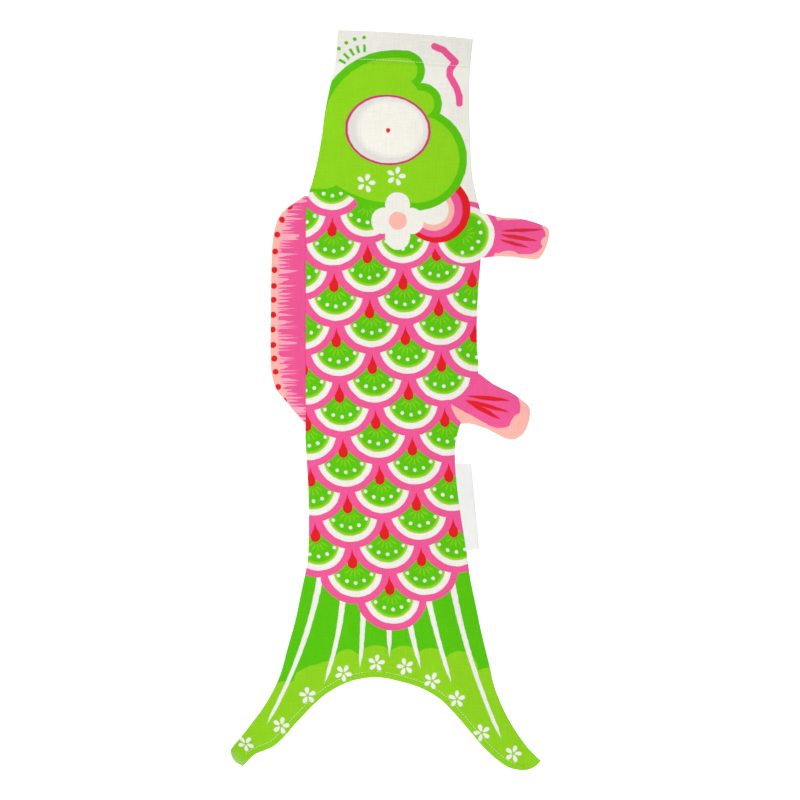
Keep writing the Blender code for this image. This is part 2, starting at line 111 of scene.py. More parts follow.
LOWER_FIN = (
    (70, -322), (85.5, -333.5), (101, -340.5), (111.5, -348), (117.5, -354),
    (118, -364), (113, -377.5), (104, -384.5), (94.5, -383.5), (85.5, -378.5),
    (73.5, -373), (60, -369.5), (52.5, -370),
)
LABEL = ((48.5, -407), (62.5, -407.5), (70, -489), (58, -490.5))


# ---- curves ---------------------------------------------------------------
def smooth(points, count=900):
    """Points along a Catmull-Rom curve by chord length, in metres, with each one's share of the length."""
    p = np.array(points, float) * MM
    at = np.r_[0, np.cumsum(np.linalg.norm(np.diff(p, axis=0), axis=1))]
    lo = np.maximum(np.arange(len(p)) - 1, 0)
    hi = np.minimum(np.arange(len(p)) + 1, len(p) - 1)
    slope = (p[hi] - p[lo]) / (at[hi] - at[lo])[:, None]
    d = np.linspace(0, at[-1], count)
    i = np.clip(np.searchsorted(at, d, side="left") - 1, 0, len(p) - 2)
    h = (at[i + 1] - at[i])[:, None]
    s = (d - at[i])[:, None] / h
    out = (
        p[i] * (2 * s**3 - 3 * s**2 + 1)
        + slope[i] * h * (s**3 - 2 * s**2 + s)
        + p[i + 1] * (3 * s**2 - 2 * s**3)
        + slope[i + 1] * h * (s**3 - s**2)
    )
    return out


left_edge, right_edge, fork = smooth(LEFT_EDGE), smooth(RIGHT_EDGE), smooth(FORK)


def on(curve, t):
    """The point at each share t of a curve's length."""
    t = np.asarray(t, float)
    step = np.r_[0, np.cumsum(np.linalg.norm(np.diff(curve, axis=0), axis=1))]
    d = np.clip(t, 0, 1) * step[-1]
    return np.stack([np.interp(d, step, curve[:, 0]), np.interp(d, step, curve[:, 1])], -1)


def part(curve, keep):
    return curve[keep(curve)]


def edge_x(curve, z):
    """x of a side edge at height z. Both edges only go down."""
    return np.interp(-np.asarray(z, float), -curve[:, 1], curve[:, 0])


depth_z = np.array([-d[0] for d in DEPTH], float) * MM
depth_y = np.array([d[1] for d in DEPTH], float) * MM


def inside(x, z):
    """Distance in from the nearer side seam."""
    zz = np.clip(z, -679 * MM, -4.5 * MM)
    return np.minimum(x - edge_x(left_edge, zz), edge_x(right_edge, zz) - x)


def depth(x, z):
    q = np.clip(inside(x, z) / FULL_IN, 0, 1)
    return np.interp(-z, depth_z, depth_y) * (1 - (1 - q) ** 2)


def rim_z(x):
    a, b = left_edge[0], right_edge[0]
    return a[1] + (b[1] - a[1]) * (x - a[0]) / (b[0] - a[0])


def to_curve(x, z, curve):
    """Distance to a curve, for many points."""
    pts = np.stack([np.ravel(x), np.ravel(z)], -1)
    c = curve[::4]
    best = np.full(len(pts), 1e9)
    for a, b in zip(c[:-1], c[1:]):
        d = b - a
        t = np.clip(((pts - a) @ d) / (d @ d), 0, 1)
        best = np.minimum(best, np.linalg.norm(pts - a - t[:, None] * d, axis=1))
    return best.reshape(np.shape(x))


def fold_noise(x, z, seed, size_x, size_z):
    out = np.empty(np.shape(x))
    flat = out.ravel()
    for i, (a, b) in enumerate(zip(np.ravel(x), np.ravel(z))):
        flat[i] = noise.noise(Vector((a / size_x, b / size_z, seed)))
    return out


def smoothstep(t):
    t = np.clip(t, 0, 1)
    return t * t * (3 - 2 * t)


def stand(x, z, side, hem=None, soft=True):
    """How far a panel's outer face stands off the middle plane: the frame's depth, soft folds, puckers beside the seams and a furrow under each row of stitches."""
    d = np.maximum(inside(x, z), 0)
    y = OUTER + depth(x, z)
    if soft:
        room = smoothstep(d / (14 * MM))
        top = smoothstep((rim_z(x) - z) / (30 * MM))
        y = y + room * (0.35 + 0.65 * top) * MM * (
            1.0 * fold_noise(x, z, 3.1 + side * 5, 52 * MM, 90 * MM)
            + 0.45 * fold_noise(x, z, 7.7 + side * 5, 17 * MM, 34 * MM)
            + 0.5 * fold_noise(x + z * 0.12, z, 1.3 + side * 5, 21 * MM, 240 * MM)
        )
        y = y + 0.16 * MM * np.exp(-d / (4.5 * MM)) * smoothstep(d / (0.8 * MM)) * fold_noise(x * 0.2, z, 9.2 + side, 30 * MM, 2.4 * MM) * 1.6
    # furrow at the foot of the mouth hem, and the hem's double thickness above it
    foot = rim_z(x) - CASING_DEPTH - 1 * MM
    y = y - 0.22 * MM * np.exp(-(((z - foot) / (0.8 * MM)) ** 2)) * smoothstep(d / (2 * MM))
    y = y + 0.12 * MM * smoothstep((z - foot) / (1.6 * MM)) * smoothstep(d / (3 * MM))
    if hem is not None:
        y = y - 0.2 * MM * np.exp(-(((hem - HEM_IN) / (0.7 * MM)) ** 2)) * smoothstep(d / (1.2 * MM))
        y = y + 0.22 * MM * smoothstep((HEM_IN - hem) / (1.2 * MM))
    return y


FIN_SPANS = ((-169 * MM, -212.5 * MM), (-322 * MM, -372 * MM))  # the right edge runs on into a fin here


def seam_roll(x, z):
    """1 away from a seam, falling to 0 at it, so that front and back meet. Beside a right fin the cloth runs straight on."""
    zz = np.clip(z, -690 * MM, -4.5 * MM)
    left = np.sqrt(np.clip(1 - (1 - np.clip((x - edge_x(left_edge, zz)) / (0.9 * MM), 0, 1)) ** 2, 0, 1))
    right = np.sqrt(np.clip(1 - (1 - np.clip((edge_x(right_edge, zz) - x) / (0.9 * MM), 0, 1)) ** 2, 0, 1))
    for top, low in FIN_SPANS:
        held = smoothstep((top - 0.5 * MM - z) / (2.5 * MM)) * smoothstep((z - low - 0.5 * MM) / (2.5 * MM))
        right = right + (1 - right) * held
    return left * right


# ---- meshes ---------------------------------------------------------------
made = {}


def mesh_from(name, verts, faces, art=None, materials=(), indices=None, smooth_shade=True):
    mesh = bpy.data.meshes.new(name)
    mesh.from_pydata([tuple(v) for v in verts], [], [tuple(f) for f in faces])
    if art is not None:
        layer = mesh.attributes.new("art", "FLOAT_VECTOR", "POINT")
        layer.data.foreach_set("vector", np.asarray(art, np.float32).ravel())
    for m in materials:
        mesh.materials.append(m)
    if indices is not None:
        mesh.polygons.foreach_set("material_index", indices)
    if smooth_shade:
        mesh.shade_smooth()
    mesh.update()
    obj = bpy.data.objects.new(name, mesh)
    bpy.context.scene.collection.objects.link(obj)
    made[name] = obj
    return obj


def art_of(x, z, y=None):
    """The drafting grid under each point. It is a hair finer where the cloth stands off the middle plane."""
    x, z = np.ravel(x).copy(), np.ravel(z).copy()
    if y is not None:
        grow = np.abs(np.ravel(y)) / 1.794
        x, z = x + (x + 5.2 * MM) * grow, z + (z + 347.2 * MM) * grow
    return np.stack([x / ART + ART_X, ART_Y - z / ART, np.zeros(len(x))], -1)


def grid_faces(rows, cols, flip):
    out = []
    for i in range(rows - 1):
        for j in range(cols - 1):
            a = i * cols + j
            f = (a, a + 1, a + cols + 1, a + cols)
            out.append(f[::-1] if flip else f)
    return out


flat_sizes = {}


def solid(obj, thickness=CLOTH, inner=0, offset=-1):
    """Gives a sheet its thickness as real faces, with crisp edges all round."""
    lo = np.array([v.co for v in obj.data.vertices]).min(0)
    hi = np.array([v.co for v in obj.data.vertices]).max(0)
    flat_sizes[obj.name] = ((float(hi[0] - lo[0]), float(hi[2] - lo[2])), float(sum(p.area for p in obj.data.polygons)))
    shell = obj.modifiers.new("cloth", "SOLIDIFY")
    shell.thickness = thickness
    shell.offset = offset
    shell.use_rim = True
    shell.material_offset = inner
    bpy.context.view_layer.update()
    graph = bpy.context.evaluated_depsgraph_get()
    done = bpy.data.meshes.new_from_object(obj.evaluated_get(graph), preserve_all_data_layers=True, depsgraph=graph)
    obj.modifiers.clear()
    old = obj.data
    obj.data = done
    bpy.data.meshes.remove(old)
    done.name = obj.name
    done.shade_smooth()
    done.set_sharp_from_angle(angle=math.radians(48))
    return obj


SEAM_STOPS = np.array([0, 0.12, 0.3, 0.55, 0.9, 1.5, 2.4, 3.8]) * MM
HEM_STOPS = np.array([0, 0.25, 0.7, 1.6, 2.8, 4.0, 4.6, 5.0, 5.3, 5.6, 5.9, 6.3, 7.0, 8.5]) * MM


def across(length, left_stops, right_stops, inner):
    """Shares of a row's length: close steps at both ends and even steps between them."""
    room = length * 0.45
    a = left_stops * min(1.0, room / left_stops[-1])
    b = right_stops * min(1.0, room / right_stops[-1])
    mid = np.linspace(a[-1], length - b[-1], inner + 2)[1:-1]
    return np.r_[a, mid, (length - b)[::-1]] / length


def body_rows(z_list, inner=58):
    """Rows of points from seam to seam. z_list holds heights below the rim, which slopes a little."""
    xs, zs = [], []
    for z in z_list:
        near_top = np.clip(1 - (-z) / (120 * MM), 0, 1)
        zl, zr = z + 4 * MM * near_top, z - 4.5 * MM * near_top
        xl, xr = edge_x(left_edge, min(zl, 4 * MM)), edge_x(right_edge, min(zr, -4.5 * MM))
        s = across(xr - xl, SEAM_STOPS, SEAM_STOPS, inner)
        xs.append(xl + (xr - xl) * s)
        zs.append(zl + (zr - zl) * s)
    return np.array(xs), np.array(zs)


def panel(name, side, x, z, materials, hem=None, pick=None, roll=True, shift=None, mirrored=False):
    """One length of a panel's cloth. side is -1 for the front and 1 for the back."""
    y = stand(x, z, side, hem)
    y = y * seam_roll(x, z) if roll else y
    xx, zz = x.copy(), z.copy()
    art = art_of(x, z, y)
    if shift is not None:
        xx, y, zz = shift(xx, y, zz)
    verts = np.stack([xx.ravel(), (side * y).ravel(), zz.ravel()], -1)
    faces = grid_faces(*x.shape, flip=(side < 0) != mirrored)
    indices = None
    if pick is not None:
        cy = art.reshape(*x.shape, 3)[..., 1]
        indices = []
        for i in range(x.shape[0] - 1):
            for j in range(x.shape[1] - 1):
                indices.append(pick(cy[i, j]))
    obj = mesh_from(name, verts, faces, art, materials, indices)
    return solid(obj, inner=len(materials) // 2)


# ---- shader graphs -----------------------------------------------------------
def lin(r, g, b):
    out = []
    for c in (r, g, b):
        c = c / 255
        out.append(c / 12.92 if c <= 0.04045 else ((c + 0.055) / 1.055) ** 2.4)
    return (*out, 1.0)


GAIN = 1.0
WHITE = lin(243, 241, 232)
LIGHT_GREEN = lin(143, 215, 22)
DARK_GREEN = lin(90, 198, 0)
TAIL_GREEN = lin(86, 197, 0)
BAND_GREEN = lin(143, 211, 26)
LIME = lin(168, 216, 44)
PINK = lin(242, 88, 152)
DEEP_PINK = lin(206, 54, 110)
RED = lin(228, 26, 32)
FIN_RED = lin(218, 38, 54)
PEACH = lin(254, 186, 174)
EYE_GREY = lin(228, 225, 219)
EYE_CREAM = lin(247, 244, 233)


class Graph:
    """Builds shader nodes one operation at a time, in painting order."""

    def __init__(self, material):
        material.use_nodes = True
        self.tree = material.node_tree
        self.tree.nodes.clear()
        self.count = 0

    def node(self, kind, **props):
        n = self.tree.nodes.new(kind)
        for k, v in props.items():
            setattr(n, k, v)
        n.location = ((self.count % 40) * 180, -(self.count // 40) * 220)
        self.count += 1
        return n

    def put(self, socket, value):
        if isinstance(value, bpy.types.NodeSocket):
            self.tree.links.new(value, socket)
        else:
            socket.default_value = value

    def m(self, op, a, b=0.0, c=0.0, clamp=False):
        n = self.node("ShaderNodeMath", operation=op, use_clamp=clamp)
        for socket, value in zip(n.inputs, (a, b, c)):
            self.put(socket, value)
        return n.outputs[0]

    def v(self, op, a, b=(0, 0, 0), scale=None):
        n = self.node("ShaderNodeVectorMath", operation=op)
        self.put(n.inputs[0], a)
        if op != "LENGTH":
            self.put(n.inputs[1], b)
        if scale is not None:
            self.put(n.inputs["Scale"], scale)
        return n.outputs["Value"] if op in ("LENGTH", "DISTANCE", "DOT_PRODUCT") else n.outputs["Vector"]

    def xyz(self, x, y, z=0.0):
        n = self.node("ShaderNodeCombineXYZ")
        for socket, value in zip(n.inputs, (x, y, z)):
            self.put(socket, value)
        return n.outputs[0]

    def split(self, vector):
        n = self.node("ShaderNodeSeparateXYZ")
        self.put(n.inputs[0], vector)
        return n.outputs[0], n.outputs[1], n.outputs[2]

    def within(self, distance, radius, soft=0.7):
        """1 where distance is under radius, over a soft edge of that width."""
        return self.m("MULTIPLY_ADD", distance, -1 / soft, radius / soft + 0.5, clamp=True)

    def over(self, distance, radius, soft=0.7):
        return self.m("MULTIPLY_ADD", distance, 1 / soft, -radius / soft + 0.5, clamp=True)

    def least(self, *values):
        out = values[0]
        for v in values[1:]:
            out = self.m("MINIMUM", out, v)
        return out

    def most(self, *values):
        out = values[0]
        for v in values[1:]:
            out = self.m("MAXIMUM", out, v)
        return out

    def mix(self, mask, below, above):
        n = self.node("ShaderNodeMix", data_type="RGBA", clamp_factor=True)
        self.put(n.inputs[0], mask)
        self.put(n.inputs[6], below)
        self.put(n.inputs[7], above)
        return n.outputs[2]

    def choose(self, mask, below, above):
        n = self.node("ShaderNodeMix", data_type="VECTOR", clamp_factor=True)
        self.put(n.inputs[0], mask)
        self.put(n.inputs[4], below)
        self.put(n.inputs[5], above)
        return n.outputs[1]

    def circle(self, p, x, y, radius=0.0):
        d = self.v("DISTANCE", p, (x, y, 0))
        return self.m("SUBTRACT", d, radius) if radius else d

    def rod(self, p, a, b):
        """Distance to a straight line from a to b."""
        ax, ay = a
        bx, by = b[0] - ax, b[1] - ay
        size = bx * bx + by * by
        v1 = self.v("SUBTRACT", p, (ax, ay, 0))
        h = self.v("DOT_PRODUCT", v1, (bx / size, by / size, 0))
        h = self.m("ADD", h, 0.0, clamp=True)
        v2 = self.v("SCALE", (bx, by, 0), scale=h)
        return self.v("DISTANCE", v1, v2)

    def streak(self, p, a, b, wide):
        """Under 0 inside a stroke from a to b that tapers to a point at both ends."""
        ax, ay = a
        ux, uy = (b[0] - ax) / 2, (b[1] - ay) / 2
        half = math.hypot(ux, uy)
        v = self.v("SUBTRACT", p, (ax + ux, ay + uy, 0))
        along = self.v("DOT_PRODUCT", v, (ux / half / half, uy / half / half, 0))
        across = self.m("ABSOLUTE", self.v("DOT_PRODUCT", v, (-uy / half, ux / half, 0)))
        girth = self.m("MULTIPLY_ADD", self.m("MULTIPLY", along, along), -wide, wide)
        return self.m("SUBTRACT", across, girth)

    def curve(self, value, points):
        n = self.node("ShaderNodeFloatCurve")
        line = n.mapping.curves[0]
        while len(line.points) > 2:
            line.points.remove(line.points[1])
        line.points[0].location = points[0]
        line.points[-1].location = points[-1]
        for p in points[1:-1]:
            line.points.new(*p)
        n.mapping.update()
        n.inputs["Factor"].default_value = 1.0
        self.put(n.inputs["Value"], value)
        return n.outputs[0]

    def steps(self, value, stops):
        """A table: from each stop on, its three numbers from 0 to 1."""
        n = self.node("ShaderNodeValToRGB")
        ramp = n.color_ramp
        ramp.interpolation = "CONSTANT"
        while len(ramp.elements) > 1:
            ramp.elements.remove(ramp.elements[-1])
        ramp.elements[0].position = 0.0
        ramp.elements[0].color = (*stops[0][1], 1)
        for at, numbers in stops[1:]:
            ramp.elements.new(at).color = (*numbers, 1)
        self.put(n.inputs[0], value)
        return self.split(n.outputs[0])


def place(g):
    """The art coordinates stored on the cloth, as a vector and as x and y, with a printed edge's slight wander."""
    n = g.node("ShaderNodeAttribute", attribute_name="art")
    wander = g.node("ShaderNodeTexNoise", noise_dimensions="3D")
    g.put(wander.inputs["Vector"], n.outputs["Vector"])
    wander.inputs["Scale"].default_value = 0.16
    wander.inputs["Detail"].default_value = 1.0
    small = g.v("SUBTRACT", wander.outputs["Color"], (0.5, 0.5, 0.5))
    small = g.v("MULTIPLY", small, (1.1, 1.1, 0.0))
    p = g.v("ADD", n.outputs["Vector"], small)
    x, y, _ = g.split(p)
    return n.outputs["Vector"], p, x, y


def slice_print(g, dx, dy, colour, rind=27.8):
    """A slice of fruit round (0, 0): white rind, green flesh, pale rays and seeds."""
    r = g.v("LENGTH", g.xyz(dx, dy))
    colour = g.mix(g.within(r, rind), colour, WHITE)
    colour = g.mix(g.within(r, 21.9, 0.8), colour, LIME)
    colour = g.mix(g.within(r, 19.9, 3.2), colour, DARK_GREEN)
    side = g.m("ABSOLUTE", dx)
    up = g.m("ADD", dy, 3.4)
    turn = g.m("DIVIDE", g.m("ARCTAN2", side, up), math.radians(27))
    turn = g.m("ABSOLUTE", g.m("SUBTRACT", turn, g.m("ROUND", turn)))
    far = g.v("LENGTH", g.xyz(side, up))
    line = g.within(g.m("MULTIPLY", g.m("MULTIPLY", turn, far), 0.47), 0.55, 0.7)
    line = g.m("MULTIPLY", line, g.within(g.m("ABSOLUTE", g.m("SUBTRACT", far, 8.2)), 3.3, 2.0))
    line = g.m("MULTIPLY", line, g.over(g.m("DIVIDE", up, far), 0.42, 0.2))
    line = g.m("MULTIPLY", line, 0.55)
    colour = g.mix(line, colour, LIME)
    fold = g.xyz(side, dy)
    d = g.least(g.circle(fold, 16.5, 5.5), g.circle(fold, 8.65, 11.4), g.circle(fold, 0, 13.6))
    return g.mix(g.within(d, 1.75), colour, WHITE)


def scales(g, x, y, colour, ends=False):
    """Rows of overlapping fruit slices with a pink edge and a red drop over each, upper rows on top."""
    k = g.m("MULTIPLY_ADD", y, 1 / 55.3, -196.2 / 55.3)
    drift = g.m("MULTIPLY", k, g.m("MULTIPLY_ADD", k, 0.314, 1.138))
    xs = g.m("SUBTRACT", g.m("SUBTRACT", x, 332.45), drift)
    row = g.m("MULTIPLY_ADD", xs, 0.0319 / 27.65, g.m("MULTIPLY_ADD", y, 1 / 27.65, -182.2 / 27.65))
    u = g.m("DIVIDE", xs, 34.58)
    first = g.m("CEIL", g.m("SUBTRACT", row, 34.5 / 27.65))
    chosen, any_scale = None, None
    for i in (2, 1, 0):
        h = g.m("ADD", first, float(i))
        odd = g.m("FLOORED_MODULO", h, 2.0)
        w = g.m("MULTIPLY", g.m("SUBTRACT", u, odd), 0.5)
        m = g.m("ROUND", w)
        dx = g.m("MULTIPLY", g.m("SUBTRACT", w, m), 69.16)
        dy = g.m("MULTIPLY", g.m("SUBTRACT", row, h), 27.65)
        here = g.xyz(dx, dy)
        ok = g.m("LESS_THAN", g.v("LENGTH", g.xyz(g.m("MULTIPLY_ADD", dx, 0.97, 0.7), dy)), 34.6)
        if ends:
            j = g.m("MULTIPLY_ADD", m, 2.0, odd)
            far = g.m("ADD", h, g.m("ABSOLUTE", g.m("SUBTRACT", j, 1.0)))
            ok = g.m("MULTIPLY", ok, g.m("LESS_THAN", far, 15.5))
        chosen = here if chosen is None else g.choose(ok, chosen, here)
        any_scale = ok if any_scale is None else g.m("MAXIMUM", any_scale, ok)
    dx, dy, _ = g.split(chosen)
    body = slice_print(g, dx, dy, PINK)
    off = g.m("ABSOLUTE", g.m("ADD", dx, 1.25))
    body = g.mix(g.within(g.m("MULTIPLY_ADD", off, 0.8, dy), -3.2), body, PINK)
    t = g.m("MULTIPLY_ADD", dy, 1 / 22.0, 22.4 / 22.0, clamp=True)
    wide = g.curve(t, [(0, 0.04), (0.1, 0.25), (0.35, 0.56), (0.58, 0.9), (0.74, 1.0), (0.87, 0.88), (0.955, 0.5), (1, 0)])
    body = g.mix(g.over(g.m("MULTIPLY_ADD", wide, 5.35, g.m("MULTIPLY", off, -1.0)), 0.5, 0.6), body, RED)
    return g.mix(any_scale, colour, body) if ends else body


def blossom(g, dx, dy, turn=0.0, size=8.7):
    """Distance-like value for a plain five-petalled flower, under 1 inside a petal."""
    a = g.m("ADD", g.m("ARCTAN2", dx, dy), turn)
    fifth = math.radians(72)
    a = g.m("SUBTRACT", g.m("FLOORED_MODULO", a, fifth), fifth / 2)
    r = g.v("LENGTH", g.xyz(dx, dy))
    along, wide = g.m("MULTIPLY", r, g.m("COSINE", a)), g.m("MULTIPLY", r, g.m("SINE", a))
    girth = g.m("MULTIPLY_ADD", along, 0.19, 1.05)  # wider outwards
    wide = g.m("DIVIDE", wide, girth)
    along = g.m("MULTIPLY_ADD", along, 1 / 3.55, -(size - 3.65) / 3.55)
    return g.v("LENGTH", g.xyz(along, wide))


def head_print(g, p, x, y):
    """The carp's crown, eye, cheek and flowers over the first rows of scales."""
    colour = scales(g, x, y, None)
    colour = g.mix(g.m("MULTIPLY", g.over(x, 432), g.within(y, 200.8)), colour, WHITE)
    colour = g.mix(g.m("MULTIPLY", g.within(y, 186.0), 1.0), colour, WHITE)
    # the turned slice on the right
    colour = turned_slice(g, p, colour)
    # cheek
    for cx, cy, radius, paint in ((437.2, 209.8, 33.2, RED), (435.2, 210.0, 27.4, PINK), (433.4, 209.8, 20.9, PEACH), (433.2, 209.3, 15.5, WHITE)):
        colour = g.mix(g.within(g.circle(p, cx, cy), radius), colour, paint)
    # crown: a dark edge round a light middle
    a = g.circle(p, 395, 130)
    b, c, e = g.circle(p, 405, 70.5), g.circle(p, 421, 104), g.circle(p, 415.5, 159)
    f = g.circle(p, 400, 98)
    cut = g.m("SUBTRACT", x, 407)
    left = g.most(g.m("SUBTRACT", x, 345), g.m("SUBTRACT", 112, y), g.m("SUBTRACT", y, 192.0))
    outer = g.least(
        g.circle(p, 367, 196.5, 12),
        g.most(g.m("SUBTRACT", a, 80), cut),
        g.m("SUBTRACT", b, 20),
        g.m("SUBTRACT", c, 21),
        g.m("SUBTRACT", e, 51.5),
        left,
    )
    colour = g.mix(g.within(outer, 0), colour, DARK_GREEN)
    dome = g.circle(p, 395, 105, 98)
    low = g.m("MULTIPLY_ADD", g.m("MAXIMUM", g.m("SUBTRACT", x, 327.5), 0.0), 0.38, g.m("SUBTRACT", y, 188.8))
    main = g.most(g.m("SUBTRACT", a, 72.4), cut, dome)
    flank = g.least(
        g.most(g.m("SUBTRACT", x, 337.0), low, g.m("MULTIPLY_ADD", y, -1.0, 112)),
        g.most(g.circle(p, 395, 100, 103.2), g.m("MULTIPLY_ADD", x, -1.0, 336.5), g.m("SUBTRACT", x, 392), g.m("MULTIPLY_ADD", y, -1.0, 130)),
    )
    light = g.least(
        main,
        g.m("SUBTRACT", b, 12.4),
        g.m("SUBTRACT", c, 13.4),
        g.m("SUBTRACT", e, 43.9),
        g.m("SUBTRACT", f, 19.5),
        flank,
    )
    colour = g.mix(g.within(light, 0), colour, LIGHT_GREEN)
    # eye
    v = g.v("SUBTRACT", p, (388, 130, 0))
    vx, vy, _ = g.split(v)
    tilt = math.radians(5)
    ex = g.m("MULTIPLY_ADD", vx, math.cos(tilt), g.m("MULTIPLY", vy, math.sin(tilt)))
    ey = g.m("MULTIPLY_ADD", vx, -math.sin(tilt), g.m("MULTIPLY", vy, math.cos(tilt)))
    r = g.v("LENGTH", g.xyz(g.m("DIVIDE", ex, 42.9), g.m("DIVIDE", ey, 35.3)))
    colour = g.mix(g.within(r, 1.0, 0.02), colour, DEEP_PINK)
    colour = g.mix(g.within(r, 0.938, 0.02), colour, EYE_GREY)
    inner = g.v("LENGTH", g.xyz(g.m("MULTIPLY_ADD", ex, 1 / 33.5, -3.2 / 33.5), g.m("MULTIPLY_ADD", ey, 1 / 27.6, 1.7 / 27.6)))
    colour = g.mix(g.within(inner, 1.02, 0.2), colour, EYE_CREAM)
    colour = g.mix(g.within(g.circle(p, 388.2, 130.5), 2.3, 0.9), colour, RED)
    # two small flowers and the large one
    right = g.m("GREATER_THAN", x, 381)
    cx = g.m("MULTIPLY_ADD", right, 30.0, 366.0)
    cy = g.m("MULTIPLY_ADD", right, -6.7, 183.0)
    d = blossom(g, g.m("SUBTRACT", x, cx), g.m("SUBTRACT", cy, y), turn=0.35, size=9.6)
    colour = g.mix(g.within(d, 1.0, 0.25), colour, WHITE)
    side = g.m("ABSOLUTE", g.m("SUBTRACT", x, 397.6))
    up = g.m("ABSOLUTE", g.m("SUBTRACT", y, 220.9))
    d = g.xyz(side, up)
    d = g.least(g.circle(d, 13.9, 0.6), g.circle(d, 0, 16.2))
    colour = g.mix(g.within(d, 12.5), colour, WHITE)
    colour = g.mix(g.within(g.circle(p, 397.8, 220.7), 9.1), colour, PEACH)
    # squiggle
    d = g.least(
        g.rod(p, (434.4, 46.4), (444, 50.6)),
        g.rod(p, (444, 50.6), (455.4, 62.0)),
        g.rod(p, (455.4, 62.0), (450, 69.4)),
        g.rod(p, (450, 69.4), (449.6, 75.6)),
        g.rod(p, (449.6, 75.6), (456.6, 88)),
        g.rod(p, (456.6, 88), (459.2, 96)),
        g.rod(p, (459.2, 96), (459.4, 103.6)),
    )
    colour = g.mix(g.within(d, 3.4), colour, PINK)
    # a fan of dashes, with dots beyond it
    v = g.v("SUBTRACT", (366, 76, 0), p)
    vx, vy, _ = g.split(v)
    r = g.v("LENGTH", v)
    turn = g.m("MULTIPLY_ADD", g.m("ARCTAN2", vx, vy), 1 / math.radians(13.9), -2.9 / 13.9)
    nearest = g.m("ROUND", turn)
    off = g.m("MULTIPLY", g.m("MULTIPLY", g.m("SUBTRACT", turn, nearest), r), math.radians(13.9))
    shown = g.m("MULTIPLY", g.m("GREATER_THAN", nearest, -0.5), g.m("LESS_THAN", nearest, 4.5))
    dash = g.m("MULTIPLY", g.within(g.m("ABSOLUTE", off), 1.4), g.within(g.m("ABSOLUTE", g.m("SUBTRACT", r, 27.7)), 3.9))
    dot = g.within(g.v("LENGTH", g.xyz(off, g.m("SUBTRACT", r, 38.6))), 1.9)
    both = g.m("MULTIPLY", g.m("MAXIMUM", dash, dot), shown)
    return g.mix(both, colour, DARK_GREEN)


def turned_slice(g, p, colour):
    v = g.v("SUBTRACT", p, (466.6, 235.1, 0))
    vx, vy, _ = g.split(v)
    t = math.radians(-61)
    dx, dy = g.m("MULTIPLY_ADD", vx, math.cos(t), g.m("MULTIPLY", vy, math.sin(t))), g.m("MULTIPLY_ADD", vx, -math.sin(t), g.m("MULTIPLY", vy, math.cos(t)))
    r = g.v("LENGTH", v)
    ring = g.mix(g.within(r, 34), colour, PINK)
    # the slice sits a little off the middle of its pink ring
    dy = g.m("ADD", dy, 0.9)
    return slice_print(g, g.m("DIVIDE", dx, 1.05), g.m("DIVIDE", dy, 1.05), ring, rind=27.2)


def lower_fin_paint(g, p, colour):
    d = g.m("SUBTRACT", g.rod(p, (461, 386), (499.5, 407.4)), 20.8)
    notch = g.m("SUBTRACT", 15.0, g.circle(p, 524.5, 427.5))
    colour = g.mix(g.within(g.m("MAXIMUM", d, notch), 0.0), colour, PINK)
    lines = g.least(
        g.streak(p, (467, 396), (510, 400.6), 2.3),
        g.streak(p, (464.5, 399.6), (510, 412.4), 2.1),
        g.streak(p, (466, 400.8), (501, 419.4), 2.3),
    )
    return g.mix(g.within(lines, 0.0), colour, RED)


def body_print(g, p, x, y):
    """Scales, with the lower fin's print running on over the edge of the body."""
    colour = scales(g, x, y, None)
    near = g.circle(p, 482.2, 398.6)
    fin = g.mix(g.within(near, 31.8), PINK, PEACH)
    fin = lower_fin_paint(g, p, fin)
    clear = g.m("MULTIPLY", g.over(g.circle(p, 444.2, 371.6), 32.6), g.over(g.circle(p, 476.9, 343.6), 32.6))
    return g.mix(g.m("MULTIPLY", clear, g.within(near, 34.5)), colour, fin)


STRIPES = (
    # x at the top, x in the middle, x at the foot, y at the top, y at the foot
    (321.0, 301.5, 267.0, 572, 723.5),
    (343.6, 337.4, 324.6, 590, 683),
    (363.6, 362.2, 359.8, 604, 668),
    (389.0, 389.3, 389.6, 618, 657),
    (408.6, 414.2, 420.6, 618, 668),
    (426.4, 437.4, 451.2, 590, 682),
    (450.4, 469.6, 501.2, 572, 738),
)
BLOSSOMS = (
    (245.3, 744.5), (281, 725.6), (307.7, 695.4), (343.5, 673), (376.4, 663),
    (405.3, 666.6), (432, 680.7), (456.8, 699), (482, 732.6), (513.3, 753.6),
)
SCALLOPS = (
    (284, 681, 15), (316, 664.6, 19), (347.5, 649.3, 14), (375.8, 645, 19), (404, 645.6, 19),
    (430.5, 647.8, 18), (459.7, 651, 18), (488, 667.8, 17),
)
CUSPS = ((240, 700), (270, 684), (289.5, 683.5), (297, 672.5), (332, 660), (361, 655), (390, 653.5), (417, 653.5), (446, 657), (478, 670), (500, 684), (530, 700))


